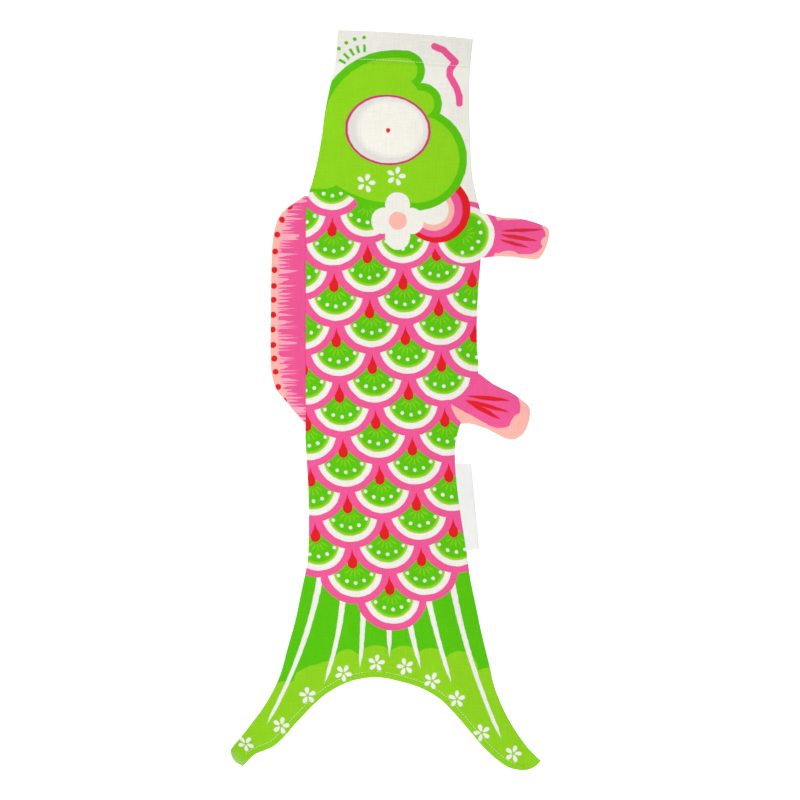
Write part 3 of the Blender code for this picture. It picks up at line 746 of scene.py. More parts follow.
def tail_print(g, p, x, y):
    """Dark green with white ribs, a scalloped light band along the fork and small flowers on it."""
    t = g.m("MULTIPLY_ADD", x, 1 / 290, -240 / 290, clamp=True)
    line = g.curve(t, [((cx - 240) / 290, (cy - 640) / 60) for cx, cy in CUSPS])
    band = g.m("SUBTRACT", g.m("MULTIPLY_ADD", line, 60.0, 640.0), y)
    for cx, cy, radius in SCALLOPS:
        band = g.m("MINIMUM", band, g.circle(p, cx, cy + radius, radius))
    colour = g.mix(g.within(band, 0), TAIL_GREEN, BAND_GREEN)
    ribs = None
    for x0, x1, x2, y0, y1 in STRIPES:
        # x = a + b h + c h^2, where h is 0 at the top and 1 at the foot
        c = 2 * (x0 + x2 - 2 * x1)
        b = x2 - x0 - c
        h = g.m("MULTIPLY_ADD", y, 1 / (y1 - y0), -y0 / (y1 - y0))
        at = g.m("MULTIPLY_ADD", h, g.m("MULTIPLY_ADD", h, c, b), x0)
        slope = abs(b + c) / (y1 - y0)
        off = g.m("MULTIPLY", g.m("ABSOLUTE", g.m("SUBTRACT", x, at)), 1 / math.sqrt(1 + slope * slope))
        # full at the top and half as wide by the foot, which ends in a point
        girth = g.m("MULTIPLY_ADD", h, -1.4, 3.05)
        girth = g.m("MINIMUM", girth, g.m("MULTIPLY", g.m("SUBTRACT", 1.0, h), (y1 - y0) * 0.16))
        rib = g.m("SUBTRACT", off, girth)
        ribs = rib if ribs is None else g.m("MINIMUM", ribs, rib)
    colour = g.mix(g.within(ribs, 0), colour, WHITE)
    stops = []
    for i, (cx, cy) in enumerate(BLOSSOMS):
        start = 0.0 if i == 0 else ((BLOSSOMS[i - 1][0] + cx) / 2 - 220) / 320
        stops.append((start, ((cx - 220) / 320, (cy - 640) / 130, ((i * 0.37) % 1.0))))
    t = g.m("MULTIPLY_ADD", x, 1 / 320, -220 / 320, clamp=True)
    cx, cy, turn = g.steps(t, stops)
    dx = g.m("SUBTRACT", x, g.m("MULTIPLY_ADD", cx, 320, 220))
    dy = g.m("SUBTRACT", g.m("MULTIPLY_ADD", cy, 130, 640), y)
    d = blossom(g, dx, dy, turn=turn, size=8.6)
    colour = g.mix(g.within(d, 1.0, 0.25), colour, WHITE)
    return scales(g, x, y, colour, ends=True)


FIN_DOTS = (
    (289.8, 206.8), (282, 219.7), (277.4, 234.7), (275.4, 251.7), (274.6, 270), (274, 286), (273.6, 300),
    (273.3, 314.8), (272.9, 329.5), (273.3, 344.9), (274.4, 358.7), (275.8, 371.8), (278.2, 386.9), (284, 400.8),
)


def long_fin_print(g, p, x, y):
    """Pink with a peach edge, pale spikes across it and a row of red dots."""
    t = g.m("MULTIPLY_ADD", y, 1 / 240, -190 / 240, clamp=True)
    stops = []
    for i, (cx, cy) in enumerate(FIN_DOTS):
        start = 0.0 if i == 0 else ((FIN_DOTS[i - 1][1] + cy) / 2 - 190) / 240
        stops.append((start, ((cx - 260) / 40, (cy - 190) / 240, 0.0)))
    cx, cy, _ = g.steps(t, stops)
    edge = g.curve(t, [(0.0, 1.0), (0.025, 0.95), (0.07, 0.56), (0.108, 0.475), (0.154, 0.39), (0.208, 0.35), (0.25, 0.31), (0.46, 0.29), (0.667, 0.29), (0.758, 0.33), (0.8125, 0.4), (0.875, 0.52), (0.917, 0.65), (0.958, 0.82), (1.0, 1.0)])
    edge = g.m("MULTIPLY_ADD", edge, 40.0, 266.0)
    # spikes: each row of cloth about 5 units high has its own length
    uneven = g.node("ShaderNodeTexNoise", noise_dimensions="1D")
    g.put(uneven.inputs["W"], g.m("MULTIPLY", y, 0.11))
    uneven.inputs["Scale"].default_value = 1.0
    wave = g.m("MULTIPLY_ADD", uneven.outputs[0], 2.6, g.m("MULTIPLY", y, 0.225))
    cell = g.m("FLOOR", wave)
    tooth = g.m("ABSOLUTE", g.m("MULTIPLY_ADD", g.m("SUBTRACT", wave, cell), 2.0, -1.0))
    chance = g.node("ShaderNodeTexWhiteNoise", noise_dimensions="1D")
    g.put(chance.inputs["W"], cell)
    length = g.m("MULTIPLY_ADD", g.m("POWER", chance.outputs[0], 1.4), 11.0, 12.0)
    reach = g.m("MAXIMUM", g.m("MULTIPLY", length, g.m("MULTIPLY_ADD", tooth, -1.25, 1.0)), -1.5)
    off = g.m("SUBTRACT", g.m("SUBTRACT", x, edge), reach)
    colour = g.mix(g.within(off, 0.0, 1.0), PINK, lin(253, 172, 186))
    colour = g.mix(g.within(g.m("SUBTRACT", x, edge), 0.5, 3.0), colour, PEACH)
    here = g.xyz(g.m("MULTIPLY_ADD", cx, 40, 260), g.m("MULTIPLY_ADD", cy, 240, 190))
    d = g.v("DISTANCE", g.xyz(x, y), here)
    return g.mix(g.within(d, 3.1), colour, RED)


def upper_fin_print(g, p, x, y):
    d = g.m("SUBTRACT", g.rod(p, (503, 237.0), (528.4, 237.0)), 17.3)
    wave = g.m("MAXIMUM", g.m("SUBTRACT", 17.5, g.circle(p, 508, 268.2)), g.m("SUBTRACT", 5.5, g.circle(p, 546.4, 242.4)))
    colour = g.mix(g.within(g.m("MAXIMUM", d, wave), 0.0), PEACH, PINK)
    lines = g.least(
        g.streak(p, (499.5, 231.2), (543.5, 229.6), 1.8),
        g.streak(p, (499.0, 234.6), (537.5, 241.2), 2.2),
        g.streak(p, (498.5, 239.6), (529.5, 248), 1.7),
    )
    colour = g.mix(g.within(lines, 0.0), colour, FIN_RED)
    return turned_slice(g, p, colour)


def lower_fin_print(g, p, x, y):
    return lower_fin_paint(g, p, PEACH)


def cloth_material(name, painter, reverse=0.0):
    """Printed plain-weave cotton. The reverse shows the print a share paler, through the cloth."""
    material = bpy.data.materials.new(name)
    g = Graph(material)
    straight, p, x, y = place(g)
    colour = painter(g, p, x, y)
    if reverse:
        colour = g.mix(reverse, colour, WHITE)
    # slubs: threads a little lighter or darker, down and across
    down = g.node("ShaderNodeTexNoise", noise_dimensions="3D")
    g.put(down.inputs["Vector"], g.v("MULTIPLY", straight, (0.85, 0.05, 1)))
    down.inputs["Scale"].default_value = 1.0
    down.inputs["Detail"].default_value = 2.0
    side = g.node("ShaderNodeTexNoise", noise_dimensions="3D")
    g.put(side.inputs["Vector"], g.v("MULTIPLY", straight, (0.06, 0.95, 1)))
    side.inputs["Scale"].default_value = 1.0
    side.inputs["Detail"].default_value = 2.0
    patch = g.node("ShaderNodeTexNoise", noise_dimensions="3D")
    g.put(patch.inputs["Vector"], straight)
    patch.inputs["Scale"].default_value = 0.022
    patch.inputs["Detail"].default_value = 2.0
    slub = g.m("ADD", down.outputs[0], side.outputs[0])
    value = g.m("MULTIPLY_ADD", slub, 0.17, 0.83)
    value = g.m("MULTIPLY_ADD", patch.outputs[0], 0.08, g.m("SUBTRACT", value, 0.04))
    # weave: threads 0.42 mm apart, over and under
    sx, sy, _ = g.split(straight)
    pitch = math.pi * 0.95 / 0.42
    over = g.m("MULTIPLY", g.m("SINE", g.m("MULTIPLY", sx, pitch)), g.m("SINE", g.m("MULTIPLY", sy, pitch)))
    value = g.m("MULTIPLY_ADD", over, 0.035, value)
    # painted shade: the mouth hem band above its row of stitches, where the cloth lies double and lets less light
    # through, is painted 7% darker
    value = g.m("MULTIPLY_ADD", g.over(g.m("MULTIPLY_ADD", sx, -0.035, sy), 51.5, 1.5), 0.07, g.m("SUBTRACT", value, 0.07))
    tint = g.v("SCALE", colour, scale=value)
    height = g.m("MULTIPLY_ADD", over, 0.5, g.m("MULTIPLY", slub, 1.4))
    bump = g.node("ShaderNodeBump")
    bump.inputs["Strength"].default_value = 0.55
    bump.inputs["Distance"].default_value = 0.00012
    g.put(bump.inputs["Height"], height)
    rough = g.m("MULTIPLY_ADD", slub, 0.1, 0.76)
    shader = g.node("ShaderNodeBsdfPrincipled")
    g.put(shader.inputs["Base Color"], tint)
    g.put(shader.inputs["Roughness"], rough)
    g.put(shader.inputs["Normal"], bump.outputs[0])
    shader.inputs["Specular IOR Level"].default_value = 0.16
    shader.inputs["Sheen Weight"].default_value = 0.03
    shader.inputs["Sheen Roughness"].default_value = 0.5
    out = g.node("ShaderNodeOutputMaterial")
    g.put(out.inputs["Surface"], shader.outputs[0])
    print("MATERIAL", name, g.count, "nodes")
    return material


def plain_material(name, colour, roughness=0.6, metallic=0.0, grain=400.0, bumpy=0.3, spread=0.12, distance=0.0001, transmission=0.0):
    """A single material with its own fine grain, colour variation and bump."""
    material = bpy.data.materials.new(name)
    g = Graph(material)
    where = g.node("ShaderNodeTexCoord")
    fine = g.node("ShaderNodeTexNoise", noise_dimensions="3D")
    g.put(fine.inputs["Vector"], where.outputs["Object"])
    fine.inputs["Scale"].default_value = grain
    fine.inputs["Detail"].default_value = 3.0
    value = g.m("MULTIPLY_ADD", fine.outputs[0], spread * 2, 1 - spread)
    shader = g.node("ShaderNodeBsdfPrincipled")
    g.put(shader.inputs["Base Color"], g.v("SCALE", colour[:3], scale=value))
    g.put(shader.inputs["Roughness"], g.m("MULTIPLY_ADD", fine.outputs[0], 0.2, roughness - 0.1))
    shader.inputs["Metallic"].default_value = metallic
    shader.inputs["Transmission Weight"].default_value = transmission
    bump = g.node("ShaderNodeBump")
    bump.inputs["Strength"].default_value = bumpy
    bump.inputs["Distance"].default_value = distance
    g.put(bump.inputs["Height"], fine.outputs[0])
    g.put(shader.inputs["Normal"], bump.outputs[0])
    out = g.node("ShaderNodeOutputMaterial")
    g.put(out.inputs["Surface"], shader.outputs[0])
    return material


def label_material():
    """White woven tape with fine ribs across it."""
    material = bpy.data.materials.new("label_tape")
    g = Graph(material)
    straight = g.node("ShaderNodeAttribute", attribute_name="art").outputs["Vector"]
    x, y, _ = g.split(straight)
    ribs = g.m("SINE", g.m("MULTIPLY", y, math.pi * 2 * 0.95 / 0.38))
    warp = g.m("SINE", g.m("MULTIPLY", x, math.pi * 2 * 0.95 / 0.3))
    both = g.m("MULTIPLY_ADD", warp, 0.4, g.m("MULTIPLY", ribs, 0.6))
    fine = g.node("ShaderNodeTexNoise", noise_dimensions="3D")
    g.put(fine.inputs["Vector"], g.v("MULTIPLY", straight, (0.9, 0.12, 1)))
    fine.inputs["Scale"].default_value = 1.0
    value = g.m("MULTIPLY_ADD", fine.outputs[0], 0.08, 0.95)
    value = g.m("MULTIPLY_ADD", both, 0.025, value)
    shader = g.node("ShaderNodeBsdfPrincipled")
    g.put(shader.inputs["Base Color"], g.v("SCALE", lin(247, 247, 244)[:3], scale=value))
    g.put(shader.inputs["Roughness"], g.m("MULTIPLY_ADD", fine.outputs[0], 0.15, 0.45))
    shader.inputs["Sheen Weight"].default_value = 0.1
    bump = g.node("ShaderNodeBump")
    bump.inputs["Strength"].default_value = 0.5
    bump.inputs["Distance"].default_value = 0.0001
    g.put(bump.inputs["Height"], both)
    g.put(shader.inputs["Normal"], bump.outputs[0])
    out = g.node("ShaderNodeOutputMaterial")
    g.put(out.inputs["Surface"], shader.outputs[0])
    return material


def inner_paint(painter):
    return lambda g, p, x, y: painter(g, p, x, y)


HEAD = cloth_material("printed_head", head_print)
BODY = cloth_material("printed_body", body_print)
TAIL = cloth_material("printed_tail", tail_print)
HEAD_IN = cloth_material("reverse_head", head_print, 0.4)
BODY_IN = cloth_material("reverse_body", body_print, 0.4)
TAIL_IN = cloth_material("reverse_tail", tail_print, 0.12)
LONG = cloth_material("printed_long_fin", long_fin_print)
UPPER = cloth_material("printed_upper_fin", upper_fin_print)
LOWER = cloth_material("printed_lower_fin", lower_fin_print)
THREAD = plain_material("hem_thread", lin(246, 247, 236), 0.6, grain=2500, spread=0.08)
TAPE = label_material()
WIRE = plain_material("hoop_wire", lin(176, 178, 182), 0.3, metallic=1.0, grain=900, spread=0.08, bumpy=0.1)
TUBE = plain_material("hoop_sleeve", lin(232, 234, 235), 0.25, grain=300, spread=0.04, bumpy=0.05, transmission=0.5)

# ---- the tube's panels ---------------------------------------------------------
foot = -(CASING_DEPTH + 1 * MM)
head_z = np.unique(
    np.r_[
        np.array([0, -0.15, -0.4, -0.8, -1.5, -2.6]) * MM,
        np.linspace(-4 * MM, foot + 2.4 * MM, 9),
        foot + np.array([1.7, 1.2, 0.8, 0.45, 0.15, -0.15, -0.45, -0.8, -1.2, -1.7, -2.4]) * MM,
        np.linspace(foot - 3.6 * MM, CUT_CHEST, 92),
    ]
)[::-1]
chest_z = np.linspace(CUT_CHEST, CUT_HIP, 84)
hip_z = np.linspace(CUT_HIP, CUT_TAIL, 40)


def head_pick(y):
    return 0 if y < 262 else 1


def hip_pick(y):
    return 0 if y < 520 else 1


split = (-25.5 * MM, CUT_TAIL)
crown_at = int(np.argmin(np.abs(fork[:, 0] - ARCH_TOP[0])))
fork_left = fork[: crown_at + 1][::-1]  # from the crown to the left tip
fork_right = fork[crown_at:]


def lobe_rows(side, rows=84, inner=26):
    """Rows from the outer seam to the middle line and then the fork, down to the tip."""
    edge = left_edge if side < 0 else right_edge
    outer = np.vstack([[edge_x(edge, CUT_TAIL), CUT_TAIL], edge[edge[:, 1] < CUT_TAIL - 0.1 * MM]])
    prong = fork_left if side < 0 else fork_right
    down = np.stack([np.linspace(split[0], prong[0][0], 60), np.linspace(CUT_TAIL, prong[0][1], 60)], -1)
    tip = smooth(LEFT_TIP if side < 0 else RIGHT_TIP, 120)
    share = 0.31
    t = np.unique(np.r_[np.linspace(0, share, 26), np.linspace(share, 1, rows - 25)])
    a = on(outer, t)
    b = np.where(t[:, None] <= share, on(down, t / share), on(prong, (t - share) / (1 - share)))
    xs, zs = [], []
    for i, ti in enumerate(t):
        s = across(np.linalg.norm(b[i] - a[i]), SEAM_STOPS, HEM_STOPS, inner)
        top = np.stack([outer[0][0] + (split[0] - outer[0][0]) * s, np.full(len(s), CUT_TAIL)], -1)
        low = on(tip, s)
        straight = a[i] + (b[i] - a[i]) * s[:, None]
        # the last rows bend to follow the tip
        chord = tip[0] + (tip[-1] - tip[0]) * s[:, None]
        bow = (low - chord) * smoothstep((ti - 0.86) / 0.14)
        row = straight + bow
        xs.append(row[:, 0])
        zs.append(row[:, 1])
    return np.array(xs), np.array(zs)


def left_tip_curl(side):
    """The left tip's corner curls: the front is drawn back and lifted, so that the open end shows."""
    end = np.array((-160 * MM, -687 * MM))
    way = np.array((LEFT_WAY.x, LEFT_WAY.z))

    def shift(x, y, z):
        along = (x - end[0]) * way[0] + (z - end[1]) * way[1]
        t = smoothstep((along + 26 * MM) / (30 * MM))
        if side < 0:
            return x - way[0] * 5.5 * MM * t**1.6 + 0 * x, y + 3.4 * MM * t**1.4, z - way[1] * 5.5 * MM * t**1.6
        return x + way[0] * 1.0 * MM * t, y + 1.6 * MM * t - 2.0 * MM * t**3, z + way[1] * 1.0 * MM * t

    return shift


def add_panels():
    for side, word in ((-1, "front"), (1, "back")):
        x, z = body_rows(head_z)
        head = panel(f"head_{word}_cloth", side, x, z, (HEAD, BODY, HEAD_IN, BODY_IN), pick=head_pick)
        x, z = body_rows(chest_z)
        chest = panel(f"chest_{word}_cloth", side, x, z, (BODY, BODY_IN))
        x, z = body_rows(hip_z)
        hip = panel(f"hip_{word}_cloth", side, x, z, (BODY, TAIL, BODY_IN, TAIL_IN), pick=hip_pick)
        yield word, head, chest, hip
        for lobe, name in ((-1, "left"), (1, "right")):
            x, z = lobe_rows(lobe)
            prong = fork_left if lobe < 0 else fork_right
            hem = to_curve(x, z, prong)
            curl = left_tip_curl(side) if lobe < 0 else None
            obj = panel(f"{name}_lobe_{word}_cloth", side, x, z, (TAIL, TAIL_IN), hem=hem, shift=curl, mirrored=lobe > 0)
            yield name, word, obj


sheets = {}
for group in add_panels():
    if len(group) == 4:
        word, head, chest, hip = group
        sheets[f"head_{word}"], sheets[f"chest_{word}"], sheets[f"hip_{word}"] = head, chest, hip
    else:
        name, word, obj = group
        sheets[f"{name}_lobe_{word}"] = obj


def flat_size(obj):
    if obj.name in flat_sizes:
        return flat_sizes[obj.name]
    lo = np.array([v.co for v in obj.data.vertices]).min(0)
    hi = np.array([v.co for v in obj.data.vertices]).max(0)
    area = sum(p.area for p in obj.data.polygons)
    return (float(hi[0] - lo[0]), float(hi[2] - lo[2])), float(area)


# ---- stitches ---------------------------------------------------------------------
def stitches(name, path, out, length=2.3 * MM, gap=0.6 * MM, radius=0.2 * MM):
    """A row of short stitches along a path of points, each with its outward way."""
    steps = np.r_[0, np.cumsum(np.linalg.norm(np.diff(path, axis=0), axis=1))]
    total = steps[-1]
    count = max(1, int(total / (length + gap)))
    pitch = total / count
    verts, faces = [], []
    sides, ends = 6, (0.0, 0.12, 0.35, 0.65, 0.88, 1.0)
    girths = (0.25, 0.8, 1.0, 1.0, 0.8, 0.25)
    for i in range(count):
        a = i * pitch + gap / 2
        base = len(verts)
        for share, girth in zip(ends, girths):
            d = a + (pitch - gap) * share
            c = np.array([np.interp(d, steps, path[:, k]) for k in range(3)])
            n = np.array([np.interp(d, steps, out[:, k]) for k in range(3)])
            n /= np.linalg.norm(n)
            e = np.array([np.interp(min(d + 1e-4, total), steps, path[:, k]) - np.interp(max(d - 1e-4, 0), steps, path[:, k]) for k in range(3)])
            e /= np.linalg.norm(e)
            b = np.cross(e, n)
            lift = radius * (0.9 * math.sin(math.pi * share) - 0.35)
            for q in range(sides):
                turn = 2 * math.pi * q / sides
                verts.append(c + n * lift + (n * math.cos(turn) + b * math.sin(turn)) * radius * girth)
        for r in range(len(ends) - 1):
            for q in range(sides):
                p, q2 = base + r * sides + q, base + r * sides + (q + 1) % sides
                faces.append((p, q2, q2 + sides, p + sides))
        faces.append([base + q for q in range(sides)][::-1])
        faces.append([base + (len(ends) - 1) * sides + q for q in range(sides)])
    obj = mesh_from(name, verts, faces, None, (THREAD,))
    bm = bmesh.new()
    bm.from_mesh(obj.data)
    bmesh.ops.recalc_face_normals(bm, faces=bm.faces)
    bm.to_mesh(obj.data)
    bm.free()
    obj.data.shade_smooth()
    return obj


mouth_rows = {}
for side, word in ((-1, "front"), (1, "back")):
    s = np.linspace(0, 1, 120)
    z0 = -CASING_DEPTH - 1 * MM
    x0, x1 = edge_x(left_edge, z0) + 1.0 * MM, edge_x(right_edge, z0) - 1.0 * MM
    x = x0 + (x1 - x0) * s
    z = rim_z(x) - CASING_DEPTH - 1 * MM
    y = side * stand(x, z, side)
    path = np.stack([x, y, z], -1)
    out = np.tile((0.0, float(side), 0.0), (len(x), 1))
    mouth_rows[word] = stitches(f"mouth_stitches_{word}", path, out)

lobe_rows_made = {}
for side, word in ((-1, "front"), (1, "back")):
    for lobe, name, prong in ((-1, "left", fork_left), (1, "right", fork_right)):
        pts = on(prong, np.linspace(0.0, 0.965, 260))
        way = np.gradient(pts, axis=0)
        way /= np.linalg.norm(way, axis=1)[:, None]
        n = np.stack([way[:, 1], -way[:, 0]], -1) * (1 if lobe < 0 else -1)
        # the cloth lies above the fork's edge
        if (n[0] @ np.array((0.0, 1.0))) < 0:
            n = -n
        pts = pts + n * HEM_IN
        x, z = pts[:, 0], pts[:, 1]
        hem = np.full(len(x), HEM_IN)
        y = stand(x, z, side, hem)
        if lobe < 0:
            x, y, z = left_tip_curl(side)(x, y, z)
        path = np.stack([x, side * y, z], -1)
        out = np.tile((0.0, float(side), 0.0), (len(x), 1))
        lobe_rows_made[f"{name}_{word}"] = stitches(f"{name}_hem_stitches_{word}", path, out)


# ---- the turned layer of the mouth hem ----------------------------------------------
casings = {}
for side, word in ((-1, "front"), (1, "back")):
    cols = 60
    s = np.linspace(0, 1, cols)
    arch = np.linspace(0, math.pi, 9)
    rows_x, rows_y, rows_z = [], [], []
    down = np.r_[np.linspace(-2.4, -24, 16), np.array([-25, -26])] * MM
    x0 = left_edge[0][0] + CASING_IN
    x1 = right_edge[0][0] - CASING_IN
    x = x0 + (x1 - x0) * s
    end = smoothstep(np.minimum(s, 1 - s) / 0.1)
    wide = (2.9 * MM + 1.1 * MM * end)  # how far inside the panel the turned layer hangs at the top
    top = rim_z(x)
    y_out = stand(x, top - 2 * MM, side) - 0.25 * MM
    for a in arch:
        rows_x.append(x)
        rows_y.append(y_out - wide / 2 * (1 - np.cos(a)))
        rows_z.append(top - 2.0 * MM + 1.9 * MM * np.sin(a))
    for dz in down:
        t = np.clip(-dz / (0.6 * CASING_DEPTH), 0, 1)
        apart = (CLOTH + LAYER_GAP) * (1 + 0 * x) + (wide - CLOTH - LAYER_GAP) * (1 - smoothstep(t))
        zz = top + dz
        rows_x.append(x)
        rows_y.append(stand(x, zz, side, soft=True) - 0.25 * MM - apart)
        rows_z.append(zz)
    X, Y, Z = map(np.array, (rows_x, rows_y, rows_z))
    verts = np.stack([X.ravel(), (side * Y).ravel(), Z.ravel()], -1)
    faces = grid_faces(*X.shape, flip=side < 0)
    obj = mesh_from(f"mouth_casing_{word}", verts, faces, art_of(X, Z), (HEAD_IN, HEAD_IN))
    casings[word] = solid(obj, 0.4 * MM, offset=0)

# ---- seam allowances inside the tube ---------------------------------------------------
allowances = {}


def allowance(name, edge, inward, z_top, z_low, rows, material):
    z = np.linspace(z_top, z_low, rows)
    offs = np.array([1.0, 2.5, 4.5, 6.5, 8.6]) * MM
    xe = edge_x(edge, z)
    X = xe[:, None] + inward * offs[None, :]
    Z = np.repeat(z[:, None], len(offs), 1)
    wave = 0.12 * MM * np.sin(Z / (3.1 * MM)) * (offs[None, :] / (8.6 * MM)) ** 2
    Y = wave + 0 * X
    verts = np.stack([X.ravel(), Y.ravel(), Z.ravel()], -1)
    obj = mesh_from(name, verts, grid_faces(*X.shape, flip=inward > 0), art_of(X, Z), (material,))
    allowances[name] = solid(obj, 0.4 * MM, offset=0)
    return obj


for word, edge, inward in (("left", left_edge, 1), ("right", right_edge, -1)):
    allowance(f"head_{word}_allowance", edge, inward, -34 * MM, CUT_CHEST, 72, BODY_IN)
    allowance(f"chest_{word}_allowance", edge, inward, CUT_CHEST, CUT_HIP, 66, BODY_IN)
    allowance(f"hip_{word}_allowance", edge, inward, CUT_HIP, CUT_TAIL, 32, TAIL_IN)
    allowance(f"{word}_lobe_allowance", edge, inward, CUT_TAIL, -672 * MM if inward > 0 else -682 * MM, 50, TAIL_IN)


# ---- fins --------------------------------------------------------------------------------
def fin(name, outline, material, edge, rows=60, cols=16, puff=1.1 * MM, flush=False):
    """Two layers of cloth between a side seam and the free outline, sewn round the outline and turned."""
    free = smooth(outline, 500)
    t = 0.004 + 0.992 * (0.5 - 0.5 * np.cos(np.pi * np.linspace(0, 1, rows)) * 0.5 - 0.5 * (1 - 2 * np.linspace(0, 1, rows)) * 0.5)
    rim = on(free, t)
    z_a, z_b = outline[0][1] * MM, outline[-1][1] * MM
    # where each row starts on the seam: between its own height and an even share
    own = np.clip(rim[:, 1], min(z_a, z_b), max(z_a, z_b))
    even = z_a + (z_b - z_a) * t
    zf = 0.45 * own + 0.55 * even
    xf = edge_x(edge, zf)
    outward = -1 if outline[len(outline) // 2][0] < 0 else 1
    foot = np.stack([xf - outward * 0.35 * MM, zf], -1)
    s = np.r_[0, np.linspace(0.03, 0.9, cols - 6), 0.94, 0.965, 0.985, 0.996, 1.0]
    P = foot[:, None, :] + (rim - foot)[:, None, :] * s[None, :, None]
    X, Z = P[..., 0], P[..., 1]
    from_rim = to_curve(X, Z, free)
    round_off = np.sqrt(np.clip(1 - (1 - np.clip(from_rim / (0.8 * MM), 0, 1)) ** 2, 0, 1))
    body = smoothstep(from_rim / (16 * MM))
    from_seam = np.abs(X - edge_x(edge, Z))
    held = smoothstep(from_seam / (10 * MM))
    H = (OUTER + puff * body * held * (1 + 0.5 * fold_noise(X, Z, 4.4, 22 * MM, 18 * MM))) * round_off
    H = H + 0.18 * MM * fold_noise(X, Z, 6.1, 9 * MM, 7 * MM) * smoothstep(from_rim / (3 * MM)) * held
    # a soft crease of the seam allowance inside, 4 mm from the rim
    H = H - 0.1 * MM * np.exp(-(((from_rim - 4.2 * MM) / (0.9 * MM)) ** 2)) * held
    wave = 1.2 * MM * fold_noise(X, Z, 2.9, 60 * MM, 48 * MM) * held
    art = art_of(X, Z)
    n = X.size
    front = np.stack([X.ravel(), (wave - H).ravel(), Z.ravel()], -1)
    back = np.stack([X.ravel(), (wave + H).ravel(), Z.ravel()], -1)
    faces = grid_faces(*X.shape, flip=outward > 0)
    faces_back = [tuple(i + n for i in f[::-1]) for f in faces]
    obj = mesh_from(name, np.vstack([front, back]), faces + faces_back, np.vstack([art, art]), (material,))
    bm = bmesh.new()
    bm.from_mesh(obj.data)
    rim_edges = [e for e in bm.edges if e.is_boundary]
    bmesh.ops.remove_doubles(bm, verts=list({v for e in rim_edges for v in e.verts}), dist=0.03 * MM)
    open_edges = [e for e in bm.edges if e.is_boundary]
    if open_edges:
        bmesh.ops.holes_fill(bm, edges=open_edges, sides=0)
    bmesh.ops.recalc_face_normals(bm, faces=bm.faces)
    bm.to_mesh(obj.data)
    bm.free()
    obj.data.shade_smooth()
    return obj


fins = {
    "long_fin": fin("long_fin_cloth", LONG_FIN, LONG, left_edge, rows=110, cols=18),
    "upper_fin": fin("upper_fin_cloth", UPPER_FIN, UPPER, right_edge, rows=90, cols=26, flush=True),
    "lower_fin": fin("lower_fin_cloth", LOWER_FIN, LOWER, right_edge, rows=96, cols=26, flush=True),
}


# ---- label --------------------------------------------------------------------------------
def make_label():
    """A folded tape: out from the seam along the front, round the fold, and back."""
    c = [np.array(p) * MM for p in LABEL]
    rows = 60
    t = np.linspace(0, 1, rows)
    wide = 14 * MM
    stops = np.r_[np.linspace(0, 0.86, 9), 0.91, 0.945, 0.97, 0.988, 1.0]
    share = np.r_[stops, stops[::-1][1:]]
    front = np.r_[np.ones(len(stops)), -np.ones(len(stops) - 1)]
    X, Y, Z = [], [], []
    for i, ti in enumerate(t):
        a = c[0] + (c[3] - c[0]) * ti
        b = c[1] + (c[2] - c[1]) * ti
        a = np.array((edge_x(right_edge, a[1]) - 0.3 * MM, a[1]))
        p = a + (b - a) * share[:, None]
        r = 0.55 * MM
        d = (1 - share) * wide
        h = np.where(d > r, r, np.sqrt(np.clip(r * r - (r - d) ** 2, 0, None)))
        h = h + 0.25 * MM * np.exp(-((d - 2.2 * MM) / (1.6 * MM)) ** 2)
        curl = 0.9 * MM * smoothstep(share) * math.sin(ti * math.pi * 1.3 + 0.4) + 0.35 * MM * smoothstep(share) * math.sin(ti * 9)
        X.append(p[:, 0])
        Z.append(p[:, 1])
        Y.append(-front * h + curl)
    X, Y, Z = map(np.array, (X, Y, Z))
    verts = np.stack([X.ravel(), Y.ravel(), Z.ravel()], -1)
    obj = mesh_from("label_cloth", verts, grid_faces(*X.shape, flip=True), art_of(X, Z), (TAPE,))
    return solid(obj, 0.35 * MM, offset=0)


label = make_label()


def neck(obj):
    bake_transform(obj)


def waist(obj):
    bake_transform(obj)


def tail(obj):
    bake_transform(obj)


def lobe(obj, name):
    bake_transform(obj)


for word in ("front", "back"):
    neck(sheets[f"head_{word}"])
    waist(sheets[f"chest_{word}"])
    tail(sheets[f"hip_{word}"])
    for name in ("left", "right"):
        lobe(sheets[f"{name}_lobe_{word}"], name)
        lobe(lobe_rows_made[f"{name}_{word}"], name)
    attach(mouth_rows[word], "head")
    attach(casings[word], "head")
for name in ("left", "right"):
    neck(allowances[f"head_{name}_allowance"])
    waist(allowances[f"chest_{name}_allowance"])
    tail(allowances[f"hip_{name}_allowance"])
    lobe(allowances[f"{name}_lobe_allowance"], name)

for name, outline in (("long_fin", LONG_FIN), ("upper_fin", UPPER_FIN), ("lower_fin", LOWER_FIN)):
    a, b = Vector((outline[0][0], 0, outline[0][1])) * MM, Vector((outline[-1][0], 0, outline[-1][1])) * MM
    mid = (a + b) / 2
    along = (b - a).normalized()
    out = Vector((-along.z, 0, along.x))
    if out.x * mid.x < 0:
        out = -out
    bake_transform(fins[name])

a, b = Vector((LABEL[0][0], 0, LABEL[0][1])) * MM, Vector((LABEL[3][0], 0, LABEL[3][1])) * MM
along = (b - a).normalized()
out = Vector((-along.z, 0, along.x))
if out.x < 0:
    out = -out
mid = (a + b) / 2
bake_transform(label)

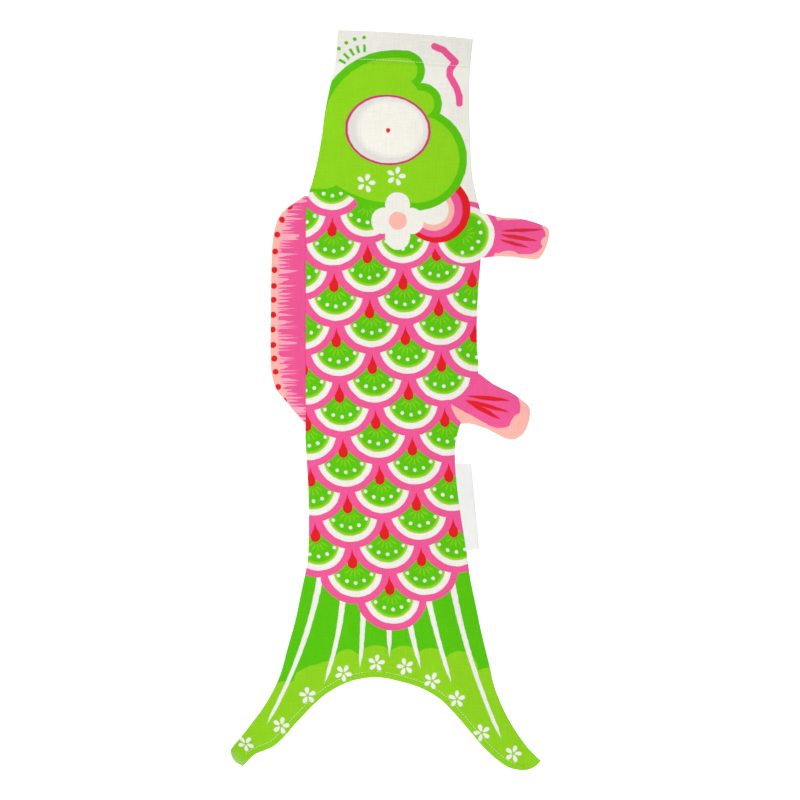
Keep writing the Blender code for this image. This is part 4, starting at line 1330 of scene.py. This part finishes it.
for word in ("front", "back"):
    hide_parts(f"head_{word}_panel")
    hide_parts(f"mid_body_{word}_panel")
    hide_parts(f"rear_body_{word}_panel", f"tail_root_{word}_panel")
    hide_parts(f"mouth_hem_{word}")
    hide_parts(f"mouth_hem_thread_{word}")
    for name in ("left", "right"):
        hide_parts(f"{name}_lobe_{word}_panel")
        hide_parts(f"{name}_lobe_hem_thread_{word}", f"tail_root_hem_thread_{word}")
for name in ("left", "right"):
    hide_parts(f"head_{name}_seam")
    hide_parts(f"mid_body_{name}_seam")
    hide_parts(f"rear_body_{name}_seam", f"tail_root_{name}_seam")
    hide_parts(f"{name}_lobe_seam")
for name in ("long_fin", "upper_fin", "lower_fin"):
    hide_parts(f"{name}_front_layer", f"{name}_back_layer")
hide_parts("woven_label")

for node, material in (("mouth_hoop", WIRE), ("hoop_sleeve", TUBE)):
    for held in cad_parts[node].material_slots:
        held.material = material
    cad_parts[node].data.shade_smooth()

with_pieces = {key: [] for key in sheets}
with_pieces["head_front"] = [mouth_rows["front"], casings["front"], allowances["head_left_allowance"], allowances["head_right_allowance"]]
with_pieces["head_back"] = [mouth_rows["back"], casings["back"]]
with_pieces["chest_front"] = [allowances["chest_left_allowance"], allowances["chest_right_allowance"]]
with_pieces["hip_front"] = [allowances["hip_left_allowance"], allowances["hip_right_allowance"]]
for name in ("left", "right"):
    with_pieces[f"{name}_lobe_front"] = [lobe_rows_made[f"{name}_front"], allowances[f"{name}_lobe_allowance"]]
    with_pieces[f"{name}_lobe_back"] = [lobe_rows_made[f"{name}_back"]]
for key, obj in sheets.items():
    flat, area = flat_size(obj)
    min(area, flat[0] * flat[1])
    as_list(with_pieces[key])
for name, obj in fins.items():
    flat, area = flat_size(obj)
flat, area = flat_size(label)
min(area, 28 * 83.5 * MM * MM)

# ---- studio ----------------------------------------------------------------------------------
stage = bpy.data.meshes.new("studio_floor")
profile = [(-4.0, 0.0), (1.2, 0.0)] + [
    (1.2 + 1.2 * math.sin(a), 1.2 - 1.2 * math.cos(a)) for a in np.linspace(0.1, math.pi / 2, 12)
] + [(2.4, 4.5)]
verts, faces = [], []
for i, (y, z) in enumerate(profile):
    verts += [(-5, y, z - 1.15), (5, y, z - 1.15)]
    if i:
        faces.append((2 * i - 2, 2 * i - 1, 2 * i + 1, 2 * i))
stage.from_pydata(verts, [], faces)
stage.shade_smooth()
floor = bpy.data.objects.new("studio_floor", stage)
bpy.context.scene.collection.objects.link(floor)
paper = bpy.data.materials.new("studio_paper")
paper.use_nodes = True
shader = paper.node_tree.nodes["Principled BSDF"]
shader.inputs["Base Color"].default_value = (0.9, 0.9, 0.9, 1)
shader.inputs["Roughness"].default_value = 1.0
shader.inputs["Emission Color"].default_value = (1, 1, 1, 1)
shader.inputs["Emission Strength"].default_value = 0.6
stage.materials.append(paper)

world = bpy.data.worlds.new("studio")
bpy.context.scene.world = world
world.use_nodes = True
world.node_tree.nodes["Background"].inputs[0].default_value = (1, 1, 1, 1)
world.node_tree.nodes["Background"].inputs[1].default_value = 0.40


def lamp(name, at, target, size, power):
    data = bpy.data.lights.new(name, "AREA")
    data.shape = "SQUARE"
    data.size = size
    data.energy = power
    obj = bpy.data.objects.new(name, data)
    obj.location = at
    obj.rotation_euler = (Vector(target) - Vector(at)).to_track_quat("-Z", "Y").to_euler()
    bpy.context.scene.collection.objects.link(obj)


lamp("key", (-2.0, -2.0, 0.9), (0, 0, -0.35), 1.6, 30)
lamp("fill", (1.8, -2.4, -0.3), (0, 0, -0.35), 2.0, 10)

bpy.context.scene.view_settings.view_transform = "Standard"
bpy.context.scene.view_settings.look = "None"

camera = bpy.data.objects.new("camera", bpy.data.cameras.new("camera"))
camera.data.lens = 85
camera.data.sensor_width = 36
camera.location = (-5.2 * MM, -1.794, -347.2 * MM)
camera.rotation_euler = (math.pi / 2, 0, 0)
bpy.context.scene.collection.objects.link(camera)
bpy.context.scene.camera = camera

bpy.context.view_layer.update()
